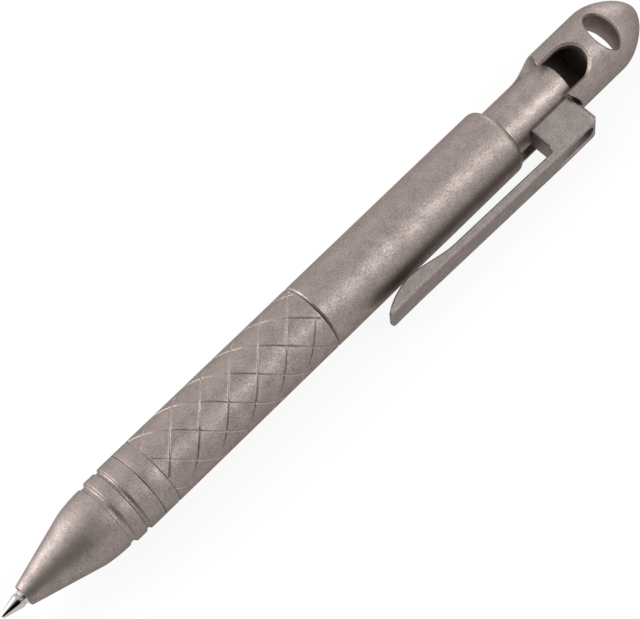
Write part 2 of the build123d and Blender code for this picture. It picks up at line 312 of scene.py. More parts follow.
def divided(outline: Sequence[Flat], step: float) -> list[Flat]:
    """Put more points on the long runs of a closed outline.

    Args:
        outline: The outline's points.
        step: About the longest run that may stay.

    Returns:
        The points, the given ones among them.
    """
    points: list[Flat] = []
    for index, (x, y) in enumerate(outline):
        x_next, y_next = outline[(index + 1) % len(outline)]
        parts = max(1, round(hypot(x_next - x, y_next - y) / step))
        for part in range(parts):
            share = part / parts
            points.append((x + (x_next - x) * share, y + (y_next - y) * share))
    return points


def inset(outline: Sequence[Flat], size: float) -> list[Flat]:
    """Move an outline that runs anticlockwise inwards.

    Args:
        outline: The outline's points.
        size: How far each side moves, negative for outwards.

    Returns:
        The moved points, one for each point of the outline.
    """
    moved: list[Flat] = []
    count = len(outline)
    for index in range(count):
        here = Vector(outline[index])
        back = (here - Vector(outline[index - 1])).normalized()
        ahead = (Vector(outline[(index + 1) % count]) - here).normalized()
        left_back = Vector((-back.y, back.x))
        left_ahead = Vector((-ahead.y, ahead.x))
        middle = (left_back + left_ahead).normalized()
        share = max(SHARPEST_MITRE, middle.dot(left_back))
        moved.append(tuple(here + middle * (size / share)))
    return moved


# Meshes


@contextmanager
def edited(mesh: bpy.types.Mesh) -> Iterator[bmesh.types.BMesh]:
    """Open a mesh for editing and write it back afterwards.

    Args:
        mesh: The mesh, which is changed.

    Yields:
        The open mesh.
    """
    work = bmesh.new()
    work.from_mesh(mesh)
    yield work
    work.to_mesh(mesh)
    work.free()


def linked(name: str, data: bpy.types.ID) -> bpy.types.Object:
    """Make an object and put it in the scene.

    Args:
        name: The object's name.
        data: Its mesh, lamp or camera.

    Returns:
        The object.
    """
    holder = bpy.data.objects.new(name, data)
    bpy.context.collection.objects.link(holder)
    return holder


def mesh_from(
    name: str, points: Sequence[Sequence[float]], faces: Sequence[Sequence[int]]
) -> bpy.types.Mesh:
    """Make a closed mesh whose faces point outwards.

    Args:
        name: The mesh's name.
        points: Its vertices.
        faces: Its faces.

    Returns:
        The mesh.
    """
    mesh = bpy.data.meshes.new(name)
    mesh.from_pydata([tuple(point) for point in points], [], [tuple(face) for face in faces])
    with edited(mesh) as work:
        bmesh.ops.remove_doubles(work, verts=work.verts, dist=MERGE_MM)
        bmesh.ops.recalc_face_normals(work, faces=work.faces)
    return mesh


def lathe(name: str, outline: Sequence[Flat], columns: int) -> bpy.types.Mesh:
    """Turn a closed outline about the pen's axis.

    Args:
        name: The mesh's name.
        outline: Places along the axis with their radii, 0 for a pole.
        columns: Number of columns round the axis.

    Returns:
        The turned mesh.
    """
    points: list[Spot] = []
    rings: list[list[int]] = []
    for x, r in outline:
        if r < POLE_MM:
            rings.append([len(points)])
            points.append((x, 0.0, 0.0))
            continue
        rings.append(list(range(len(points), len(points) + columns)))
        for column in range(columns):
            angle = 2 * pi * column / columns
            points.append((x, -r * sin(angle), r * cos(angle)))
    faces: list[tuple[int, ...]] = []
    for index, ring in enumerate(rings):
        other = rings[(index + 1) % len(rings)]
        if len(ring) == 1 and len(other) == 1:
            continue
        for column in range(columns):
            after = (column + 1) % columns
            if len(ring) == 1:
                faces.append((ring[0], other[column], other[after]))
            elif len(other) == 1:
                faces.append((ring[column], ring[after], other[0]))
            else:
                faces.append((ring[column], ring[after], other[after], other[column]))
    return mesh_from(name, points, faces)


def stack(name: str, rings: Sequence[Sequence[Sequence[float]]]) -> bpy.types.Mesh:
    """Join rings of points with the same count into a closed skin with flat ends.

    Args:
        name: The mesh's name.
        rings: The rings, from one end to the other.

    Returns:
        The mesh.
    """
    count = len(rings[0])
    points = [point for ring in rings for point in ring]
    faces: list[tuple[int, ...]] = [tuple(range(count)), tuple(range(len(points) - count, len(points)))]
    for level in range(len(rings) - 1):
        low, high = level * count, (level + 1) * count
        for index in range(count):
            after = (index + 1) % count
            faces.append((low + index, low + after, high + after, high + index))
    return mesh_from(name, points, faces)


def post(plan: Sequence[Flat], low: float, high: float, x_middle: float = 0.0) -> bpy.types.Mesh:
    """An upright cutter.

    Args:
        plan: Its outline in X and Y.
        low: Height of its lower end.
        high: Height of its upper end.
        x_middle: Where the plan's origin lies along the pen.

    Returns:
        The cutter.
    """
    return stack("post", [[(x_middle + x, y, z) for x, y in plan] for z in (low, high)])


def applied(mesh: bpy.types.Mesh, set_up: Callable[[bpy.types.Object], None]) -> bpy.types.Mesh:
    """Run modifiers on a mesh and take their result as a plain mesh.

    Args:
        mesh: The mesh, which is used up.
        set_up: Adds the modifiers to the object that it is given.

    Returns:
        The plain mesh, under the name of the first one.
    """
    name = mesh.name
    holder = linked("work", mesh)
    set_up(holder)
    graph = bpy.context.evaluated_depsgraph_get()
    result = bpy.data.meshes.new_from_object(holder.evaluated_get(graph))
    bpy.data.objects.remove(holder)
    bpy.data.meshes.remove(mesh)
    result.name = name
    return result


def carved(mesh: bpy.types.Mesh, tool: bpy.types.Mesh, how: Carve = Carve.CUT) -> bpy.types.Mesh:
    """Cut one mesh with another.

    Args:
        mesh: The mesh that is cut.
        tool: The mesh that cuts it. Both are used up.
        how: What the tool does.

    Returns:
        The carved mesh.
    """
    with edited(tool) as work:
        bmesh.ops.triangulate(work, faces=work.faces)
    cutter = linked("tool", tool)

    def set_up(holder: bpy.types.Object) -> None:
        """Add the cut.

        Args:
            holder: The object that holds the mesh.
        """
        cut = holder.modifiers.new("cut", "BOOLEAN")
        cut.operation = how.value
        cut.solver = "EXACT"
        cut.object = cutter

    result = applied(mesh, set_up)
    bpy.data.objects.remove(cutter)
    bpy.data.meshes.remove(tool)
    return result


def slice_off(mesh: bpy.types.Mesh, place: Spot, normal: Spot) -> None:
    """Take off what lies beyond a plane and close the cut.

    Args:
        mesh: The mesh, which is changed.
        place: A point of the plane.
        normal: The plane's direction, towards what is taken off.
    """
    with edited(mesh) as work:
        parts = [*work.verts, *work.edges, *work.faces]
        cut = bmesh.ops.bisect_plane(
            work, geom=parts, dist=PLANE_MM, plane_co=place, plane_no=normal, clear_outer=True)
        edges = [item for item in cut["geom_cut"] if isinstance(item, bmesh.types.BMEdge)]
        bmesh.ops.holes_fill(work, edges=edges, sides=0)
        bmesh.ops.recalc_face_normals(work, faces=work.faces)


def chamfered_plate(name: str, outline: Sequence[Flat], half: float, edge: float) -> bpy.types.Mesh:
    """A plate with a side outline in X and Z whose two rims are chamfered.

    Args:
        name: The mesh's name.
        outline: The side outline, anticlockwise.
        half: Half of the plate's thickness along Y.
        edge: Width of the chamfers.

    Returns:
        The plate.
    """
    levels = ((edge, -half), (0.0, edge - half), (0.0, half - edge), (edge, half))
    return stack(name, [[(x, y, z) for x, z in inset(outline, shrink)] for shrink, y in levels])


@dataclass(frozen=True)
class RimCutter:
    """A straight cutter whose wall flares out where it leaves a turned surface.

    The flare breaks the rim of the opening by the same width all round, as a
    deburring tool does.
    """

    profile: Sequence[Flat]
    flare: float
    origin: Vector = TIP
    along: Vector = PEN_X
    across: Vector = PEN_Y
    up: Vector = PEN_Z
    reach: float = 1.2
    farthest: float = 12.0
    halvings: int = 40
    clear: float = 9.0
    lowest: float = 0.01
    step: float = 0.35

    def radius(self, x: float) -> float:
        """Radius of the turned surface at a place on the axis."""
        xs = [spot[0] for spot in self.profile]
        return float(np.interp(x, xs, [spot[1] for spot in self.profile]))

    def spot(self, a: float, b: float, height: float) -> Vector:
        """A point of the cutter from its three measures."""
        return self.origin + self.along * a + self.across * b + self.up * height

    def surface(self, a: float, b: float, side: float) -> float:
        """Height at which a line of the cutter leaves the turned surface.

        Args:
            a: Place of the line along the cutter's first direction.
            b: Place of the line across it.
            side: 1 to look upwards and -1 to look downwards.

        Returns:
            The height over the cutter's origin, without its sign.
        """
        low, high = 0.0, self.farthest
        for _ in range(self.halvings):
            middle = (low + high) / 2
            place = self.spot(a, b, side * middle)
            if hypot(place.y, place.z) < self.radius(place.x):
                low = middle
            else:
                high = middle
        return low

    def rim(self, outline: Sequence[Flat], side: float) -> list[list[Vector]]:
        """The rings between which the wall flares out, and the one that clears the barrel.

        Args:
            outline: The opening's outline, anticlockwise.
            side: 1 for the upper rim and -1 for the lower one.

        Returns:
            The ring where the wall ends, the ring outside the surface and the last one.
        """
        wide = inset(outline, -(self.flare + self.reach))
        edge = inset(outline, -self.flare)
        rings: list[list[Vector]] = [[], [], []]
        for (a, b), (edge_a, edge_b), (wide_a, wide_b) in zip(outline, edge, wide):
            height = self.surface(edge_a, edge_b, side)
            wall_end = max(height - self.flare, self.lowest)
            outside = max(height + self.reach, 2 * self.lowest)
            rings[0].append(self.spot(a, b, side * wall_end))
            rings[1].append(self.spot(wide_a, wide_b, side * outside))
            rings[2].append(self.spot(wide_a, wide_b, side * self.clear))
        return rings

    def mesh(self, outline: Sequence[Flat], floor: float | None = None) -> bpy.types.Mesh:
        """The cutter for one outline.

        Args:
            outline: The opening's outline, anticlockwise.
            floor: Height of the cutter's lower end, or None to cut right through.

        Returns:
            The cutter's mesh.
        """
        outline = divided(outline, self.step)
        upper = self.rim(outline, 1.0)
        if floor is None:
            lower = self.rim(outline, -1.0)
            return stack("rim_cutter", [*reversed(lower), *upper])
        return stack("rim_cutter", [[self.spot(a, b, floor) for a, b in outline], *upper])


# Finishes


class Nodes:
    """A short way to place, feed and join the nodes of one tree."""

    def __init__(self, tree: bpy.types.NodeTree) -> None:
        """Keep the tree."""
        self.tree = tree

    @classmethod
    def group(cls, name: str, kind: str, inputs: dict[str, Socket], outputs: dict[str, Socket]) -> "Nodes":
        """Make a node group with named sockets.

        Args:
            name: The group's name.
            kind: The type of its tree.
            inputs: The kind of each named input.
            outputs: The kind of each named output.

        Returns:
            The group's nodes, with its input and output nodes placed.
        """
        tree = bpy.data.node_groups.new(name, kind)
        for way, sockets in (("INPUT", inputs), ("OUTPUT", outputs)):
            for label, socket in sockets.items():
                tree.interface.new_socket(name=label, in_out=way, socket_type=socket.value)
        tree.nodes.new("NodeGroupInput")
        tree.nodes.new("NodeGroupOutput")
        return cls(tree)

    def given(self, label: str) -> bpy.types.NodeSocket:
        """The socket that one of the group's inputs comes out of."""
        return self.tree.nodes["Group Input"].outputs[label]

    def put(self, label: str, value: bpy.types.NodeSocket) -> None:
        """Hand a value to one of the group's outputs."""
        self.feed(self.tree.nodes["Group Output"].inputs[label], value)

    def feed(self, socket: bpy.types.NodeSocket, value: object) -> None:
        """Join a socket to another one, or give it a plain value.

        Args:
            socket: The input that is fed.
            value: A socket, a number, a vector or a colour without its alpha.
        """
        if isinstance(value, bpy.types.NodeSocket):
            self.tree.links.new(value, socket)
        elif socket.type == "RGBA":
            socket.default_value = (*value, 1.0)
        else:
            socket.default_value = value

    def add(
        self, kind: str, inputs: dict[str | int, object] | None = None, **settings: object
    ) -> bpy.types.Node:
        """Place a node.

        Args:
            kind: The node's type.
            inputs: What its inputs are fed, by name or number.
            settings: Properties to set on it.

        Returns:
            The node.
        """
        node = self.tree.nodes.new(kind)
        for name, value in settings.items():
            setattr(node, name, value)
        for name, value in (inputs or {}).items():
            self.feed(node.inputs[name], value)
        return node

    def maths(self, operation: str, *terms: object) -> bpy.types.NodeSocket:
        """Place a maths node.

        Args:
            operation: What it works out.
            terms: Its sockets or numbers, in their order.

        Returns:
            The result's socket.
        """
        return self.add("ShaderNodeMath", dict(enumerate(terms)), operation=operation).outputs[0]

    def product(self, *terms: object) -> bpy.types.NodeSocket:
        """Multiply two or more terms.

        Args:
            terms: Sockets or numbers.

        Returns:
            The result's socket.
        """
        result = terms[0]
        for term in terms[1:]:
            result = self.maths("MULTIPLY", result, term)
        return result

    def noise(
        self, size: bpy.types.NodeSocket, detail: float, roughness: float = 0.5
    ) -> bpy.types.NodeSocket:
        """Place noise that follows the piece's own coordinates.

        Args:
            size: Size of its features in millimetres.
            detail: How many finer layers lie over it.
            roughness: How strongly the finer layers show.

        Returns:
            The noise's socket.
        """
        spread = {**self.spread_over(size), "Detail": detail, "Roughness": roughness}
        return self.add("ShaderNodeTexNoise", spread).outputs["Fac"]

    def spread_over(self, size: bpy.types.NodeSocket) -> dict[str, bpy.types.NodeSocket]:
        """Lay a texture over the piece's own coordinates.

        Args:
            size: Size of its features in millimetres.

        Returns:
            What the texture's inputs are fed.
        """
        place = self.add("ShaderNodeTexCoord").outputs["Object"]
        return {"Vector": place, "Scale": self.maths("DIVIDE", MM_PER_M, size)}

    def seen(self) -> bpy.types.NodeSocket:
        """Tell the rays by which the picture sees a thing from those that light others.

        Returns:
            A socket that is 1 for the camera, in reflections and through glass, else 0.
        """
        rays = self.add("ShaderNodeLightPath").outputs
        seen = self.maths("MAXIMUM", rays["Is Camera Ray"], rays["Is Glossy Ray"])
        return self.maths("MAXIMUM", seen, rays["Is Transmission Ray"])


@dataclass(frozen=True)
class TumbledPattern:
    """The tone, roughness and relief of metal that was tumbled with stones, with a brighter tone on edges
    that is partly rubbed wear and partly a painted highlight.
    """

    blotch_detail: float = 3.0
    blotch_roughness: float = 0.55
    blotch_spread: float = 0.85
    grain_detail: float = 2.0
    grain_roughness: float = 0.6
    grain_spread: float = 1.8
    nick_gain: float = 14.0
    nick_blend: float = 0.2
    grain_relief: float = 0.7
    nick_relief: float = 0.25
    edge_samples: int = 6
    edge_starts: float = 0.995
    edge_ends: float = 0.86

    def build(self) -> bpy.types.NodeTree:
        """Make the shader group.

        Returns:
            The group, whose sizes are in millimetres.
        """
        tones = ("Dark Tone", "Light Tone")
        numbers = (
            "Blotch Size", "Grain Size", "Nick Size", "Smoothest", "Roughest", "Edge Width", "Edge Wear And Highlight Gain")
        kit = Nodes.group(
            "tumbled_metal", "ShaderNodeTree",
            {**dict.fromkeys(tones, Socket.COLOUR), **dict.fromkeys(numbers, Socket.NUMBER)},
            {"Tone": Socket.COLOUR, "Roughness": Socket.NUMBER, "Relief": Socket.NUMBER})
        blotch = kit.noise(kit.given("Blotch Size"), self.blotch_detail, self.blotch_roughness)
        grain = kit.noise(kit.given("Grain Size"), self.grain_detail, self.grain_roughness)
        cells = kit.spread_over(kit.given("Nick Size"))
        nick = kit.add("ShaderNodeTexVoronoi", cells, feature="DISTANCE_TO_EDGE").outputs["Distance"]
        broad = kit.maths("MULTIPLY_ADD", kit.maths("SUBTRACT", blotch, 0.5), self.blotch_spread, 0.5)
        tone = kit.maths("MULTIPLY_ADD", kit.maths("SUBTRACT", grain, 0.5), self.grain_spread, broad)
        share = kit.add("ShaderNodeClamp", {"Value": tone}).outputs[0]
        ends = {"Factor": share, "A": kit.given("Dark Tone"), "B": kit.given("Light Tone")}
        mix = kit.add("ShaderNodeMix", ends, data_type="RGBA").outputs["Result"]
        # Brighter tone on edges: partly rubbed wear, partly a painted highlight along rims and corners.
        gain = kit.maths("MULTIPLY_ADD", self.worn_and_highlit_edge(kit), kit.given("Edge Wear And Highlight Gain"), 1.0)
        rubbed_and_highlit = kit.add("ShaderNodeVectorMath", {0: mix, "Scale": gain}, operation="SCALE")
        spread = kit.maths("SUBTRACT", kit.given("Smoothest"), kit.given("Roughest"))
        scuff = kit.maths("SMOOTH_MIN", kit.product(nick, self.nick_gain), 1.0, self.nick_blend)
        kit.put("Tone", rubbed_and_highlit.outputs[0])
        kit.put("Roughness", kit.maths("MULTIPLY_ADD", share, spread, kit.given("Roughest")))
        scuffs = kit.product(scuff, self.nick_relief)
        kit.put("Relief", kit.maths("MULTIPLY_ADD", grain, self.grain_relief, scuffs))
        return kit.tree

    def worn_and_highlit_edge(self, kit: Nodes) -> bpy.types.NodeSocket:
        """Find corners and rims, where a beveled normal leaves the plain one; the tone is brightened there
        as rubbed wear and as a painted edge highlight.

        Args:
            kit: The group's nodes.

        Returns:
            A socket from 0 on flat places to 1 on edges.
        """
        radius = kit.product(kit.given("Edge Width"), MM)
        bevel = kit.add("ShaderNodeBevel", {"Radius": radius}, samples=self.edge_samples).outputs["Normal"]
        plain = kit.add("ShaderNodeNewGeometry").outputs["Normal"]
        turn = kit.add("ShaderNodeVectorMath", {0: bevel, 1: plain}, operation="DOT_PRODUCT")
        ramp = {"Value": turn.outputs["Value"], "From Min": self.edge_starts, "From Max": self.edge_ends}
        return kit.add("ShaderNodeMapRange", ramp).outputs["Result"]


@dataclass(frozen=True)
class FineGrain:
    """The slight unevenness of drawn, turned or moulded small parts."""

    detail: float = 3.0
    tone_gain: float = 2.0

    def build(self) -> bpy.types.NodeTree:
        """Make the shader group.

        Returns:
            The group, whose sizes are in millimetres.
        """
        kit = Nodes.group(
            "fine_grain", "ShaderNodeTree",
            {"Tone": Socket.COLOUR, **dict.fromkeys(("Grain Size", "Strength", "Roughness"), Socket.NUMBER)},
            {"Tone": Socket.COLOUR, "Roughness": Socket.NUMBER, "Relief": Socket.NUMBER})
        grain = kit.noise(kit.given("Grain Size"), self.detail)
        swing = kit.product(kit.maths("SUBTRACT", grain, 0.5), kit.given("Strength"))
        level = kit.maths("MULTIPLY_ADD", swing, self.tone_gain, 1.0)
        tint = kit.add("ShaderNodeVectorMath", {0: kit.given("Tone"), "Scale": level}, operation="SCALE")
        kit.put("Tone", tint.outputs[0])
        kit.put("Roughness", kit.maths("ADD", kit.given("Roughness"), swing))
        kit.put("Relief", grain)
        return kit.tree


def grouped_material(
    name: str,
    shown: Colour,
    group: bpy.types.NodeTree,
    values: dict[str, object],
    surface: dict[str, object],
    relief: dict[str, float],
) -> bpy.types.Material:
    """Make a material whose tone, roughness and relief come from a shader group.

    Args:
        name: The material's name.
        shown: Its colour outside renders.
        group: The shader group.
        values: What the group's inputs are set to.
        surface: What the shader's own inputs are set to.
        relief: Strength and distance of the relief.

    Returns:
        The material.
    """
    material = bpy.data.materials.new(name)
    material.use_nodes = True
    material.diffuse_color = (*shown, 1.0)
    kit = Nodes(material.node_tree)
    effect = kit.add("ShaderNodeGroup", values, node_tree=group).outputs
    bump = kit.add("ShaderNodeBump", {"Height": effect["Relief"], **relief}).outputs["Normal"]
    looks = {"Base Color": effect["Tone"], "Roughness": effect["Roughness"], "Normal": bump, **surface}
    shader = material.node_tree.nodes["Principled BSDF"]
    for label, value in looks.items():
        kit.feed(shader.inputs[label], value)
    return material


@dataclass(frozen=True)
class TumbledMetal:
    """Metal with the satin mottling of a stone tumbler."""

    name: str
    dark: Colour
    light: Colour
    smoothest: float = 0.46
    roughest: float = 0.60
    blotch_mm: float = 1.9
    grain_mm: float = 0.24
    nick_mm: float = 1.1
    relief_mm: float = 0.016
    relief_strength: float = 0.6
    edge_tint: Colour = (0.45, 0.41, 0.39)
    edge_mm: float = 0.22
    # How much brighter edges are: partly rubbed wear, partly a painted edge highlight.
    edge_wear_and_highlight_gain: float = 0.55

    def material(self, group: bpy.types.NodeTree) -> bpy.types.Material:
        """Build the material.

        Args:
            group: The shader group for tumbled metal.

        Returns:
            The material.
        """
        values = {
            "Dark Tone": self.dark, "Light Tone": self.light, "Blotch Size": self.blotch_mm,
            "Grain Size": self.grain_mm, "Nick Size": self.nick_mm, "Smoothest": self.smoothest,
            "Roughest": self.roughest, "Edge Width": self.edge_mm, "Edge Wear And Highlight Gain": self.edge_wear_and_highlight_gain,
        }
        surface = {"Metallic": 1.0, "Specular Tint": self.edge_tint}
        relief = {"Strength": self.relief_strength, "Distance": self.relief_mm * MM}
        return grouped_material(self.name, self.light, group, values, surface, relief)


@dataclass(frozen=True)
class PlainFinish:
    """A small part's finish with a slight grain."""

    name: str
    tone: Colour
    roughness: float
    metallic: float = 0.0
    grain_mm: float = 0.2
    strength: float = 0.1
    relief_mm: float = 0.004
    relief_strength: float = 0.4

    def material(self, group: bpy.types.NodeTree) -> bpy.types.Material:
        """Build the material.

        Args:
            group: The shader group for fine grain.

        Returns:
            The material.
        """
        values = {
            "Tone": self.tone, "Grain Size": self.grain_mm,
            "Strength": self.strength, "Roughness": self.roughness,
        }
        relief = {"Strength": self.relief_strength, "Distance": self.relief_mm * MM}
        return grouped_material(self.name, self.tone, group, values, {"Metallic": self.metallic}, relief)


@dataclass
class Finishes:
    """Every finish on the pen, by the name of its slot in the record."""

    tumbled: tuple[TumbledMetal, ...] = (
        TumbledMetal("barrel_titanium", (0.205, 0.172, 0.162), (0.400, 0.343, 0.318)),
        TumbledMetal("bolt_titanium", (0.215, 0.18, 0.168), (0.43, 0.37, 0.34), 0.43, 0.56),
        TumbledMetal("clip_titanium", (0.205, 0.180, 0.173), (0.375, 0.331, 0.314)),
    )
    plain: tuple[PlainFinish, ...] = (
        PlainFinish("screw_steel", (0.09, 0.085, 0.085), 0.42, metallic=1.0),
        PlainFinish("pad_brass", (0.60, 0.42, 0.18), 0.32, metallic=1.0),
        PlainFinish("seal_rubber", (0.02, 0.02, 0.022), 0.62, grain_mm=0.15, strength=0.2),
        PlainFinish("spring_steel", (0.55, 0.55, 0.56), 0.28, metallic=1.0),
        PlainFinish(
            "ball_carbide", (0.42, 0.42, 0.44), 0.12, metallic=1.0,
            grain_mm=0.1, strength=0.05, relief_mm=0.001),
        PlainFinish(
            "point_nickel", (0.50, 0.48, 0.45), 0.16, metallic=1.0,
            grain_mm=0.3, strength=0.12, relief_mm=0.002),
        PlainFinish("tube_steel", (0.50, 0.50, 0.50), 0.30, metallic=1.0),
        PlainFinish("ink", (0.01, 0.012, 0.03), 0.15, grain_mm=0.5),
        PlainFinish("plug_plastic", (0.62, 0.62, 0.60), 0.45, grain_mm=0.25),
    )
    made: dict[str, bpy.types.Material] = field(default_factory=dict)

    def build(self) -> None:
        """Make both shader groups and every material."""
        for group, finishes in ((TumbledPattern().build(), self.tumbled), (FineGrain().build(), self.plain)):
            for finish in finishes:
                self.made[finish.name] = finish.material(group)


# Pieces


@dataclass
class SubAssembly:
    """What every group of pieces shares: sizes, the frame and the finishes."""

    sizes: PenSizes
    place: PenFrame
    finishes: Finishes

    def show(
        self, mesh: bpy.types.Mesh, body: Body, slot: str, node: str, turn: float = 0.0
    ) -> bpy.types.Object:
        """Lay a mesh in the room, dress it and let it stand for its solid.

        Args:
            mesh: The mesh in the pen's frame, under the piece's name.
            body: The body that it rides on.
            slot: The material slot that it is finished from.
            node: The solid that it replaces.
            turn: How far it is turned from the front, in degrees.

        Returns:
            The piece.
        """
        mesh.transform(self.place.matrix(turn))
        mesh.materials.clear()
        mesh.materials.append(self.finishes.made[slot])
        mesh.shade_smooth()
        mesh.set_sharp_from_angle(angle=SHARP_ANGLE)

        def set_up(holder: bpy.types.Object) -> None:
            """Keep the broad faces even beside the small ones.

            Args:
                holder: The object that holds the mesh.
            """
            even = holder.modifiers.new("even", "WEIGHTED_NORMAL")
            even.keep_sharp = True
            even.weight = FLAT_WEIGHT

        mesh = applied(mesh, set_up)
        piece = linked(mesh.name, mesh)
        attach(piece, body.value)
        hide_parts(node)
        LOG.info("%s: %d faces on %s", piece.name, len(mesh.polygons), body.value)
        return piece


@dataclass
class NoseCone(SubAssembly):
    """The screwed-in nose with its cone, two ring grooves and band."""

    x_mouth: float = 4.5
    mouth_r: float = 1.87
    mouth_round: float = 0.16
    bore_break: float = 0.08
    cone_rows: tuple[float, ...] = (6.5, 9.0, 11.5, 14.0, 15.8)
    x_cone: float = 16.4
    cone_end_r: float = 5.22
    cone_blend: float = 3.0
    x_arc: float = 21.1
    arc_end_r: float = 5.65
    arc_round: float = 0.12
    arc_steps: int = 14
    front_groove_r: float = 5.42
    front_groove_round: float = 0.42
    x_ridge: float = 22.4
    ridge_r: float = 5.9
    ridge_round: float = 0.22
    x_rear_groove: float = 24.3
    rear_groove_r: float = 5.58
    rear_groove_round: float = 0.34
    x_band: float = 25.3
    band_round: float = 0.16
    groove_slope: float = 0.3
    seam_gap: float = 0.12
    seam_depth: float = 0.3
    spigot_len: float = 8.0
    bore_r: float = 1.295
    spring_room_r: float = 2.0
    x_room_end: float = 16.7
    columns: int = 192

    def swell(self) -> list[Flat]:
        """The bend in which the cone runs out to the full width.

        Returns:
            Its points, from the cone to the first ring groove.
        """
        run = self.x_arc - self.x_cone
        fall = self.arc_end_r - self.cone_end_r
        bend_r = (run**2 + fall**2) / (2 * fall)
        sweep = degrees(asin(run / bend_r))
        return arc_run((self.x_arc, self.arc_end_r - bend_r), bend_r, 90 + sweep, 90, self.arc_steps)

    def outline(self) -> list[Flat]:
        """The nose's half section.

        Returns:
            Its points, from the mouth over the outside and back through the bore.
        """
        size = self.sizes
        bend = self.swell()
        x_end = size.x_seam + self.spigot_len
        x_gap = size.x_seam - self.seam_gap
        slope = (self.cone_end_r - self.mouth_r) / (self.x_cone - self.x_mouth)
        return rounded([
            (self.x_mouth, self.bore_r, self.bore_break),
            (self.x_mouth, self.mouth_r, self.mouth_round),
            *[(x, self.mouth_r + slope * (x - self.x_mouth), 0.0) for x in self.cone_rows],
            (*bend[0], self.cone_blend),
            *[(x, r, 0.0) for x, r in bend[2:-1]],
            (self.x_arc, self.arc_end_r, self.arc_round),
            (self.x_arc + self.groove_slope, self.front_groove_r, self.front_groove_round),
            (self.x_ridge - self.groove_slope, self.front_groove_r, self.front_groove_round),
            (self.x_ridge, self.ridge_r, self.ridge_round),
            (self.x_rear_groove, self.ridge_r, self.ridge_round),
            (self.x_rear_groove + self.groove_slope, self.rear_groove_r, self.rear_groove_round),
            (self.x_band - self.groove_slope, self.rear_groove_r, self.rear_groove_round),
            (self.x_band, size.body_r, self.band_round),
            (x_gap, size.body_r, size.seam_round),
            (x_gap, size.body_r - self.seam_depth, 0.0),
            (size.x_seam, size.body_r - self.seam_depth, 0.0),
            (size.x_seam, size.spigot_r, 0.0),
            (x_end, size.spigot_r, size.spigot_round),
            (x_end, size.refill_room_r, size.bore_round),
            (self.x_room_end, size.refill_room_r, 0.0),
            (self.x_room_end, self.spring_room_r, size.bore_round),
            (size.x_spring_seat, self.spring_room_r, 0.0),
            (size.x_spring_seat, self.bore_r, 0.0),
        ])

    def build(self) -> None:
        """Turn the nose and show it."""
        mesh = lathe("nose_cone_turned", self.outline(), self.columns)
        self.show(mesh, Body.BARREL, "barrel_titanium", "nose_cone")


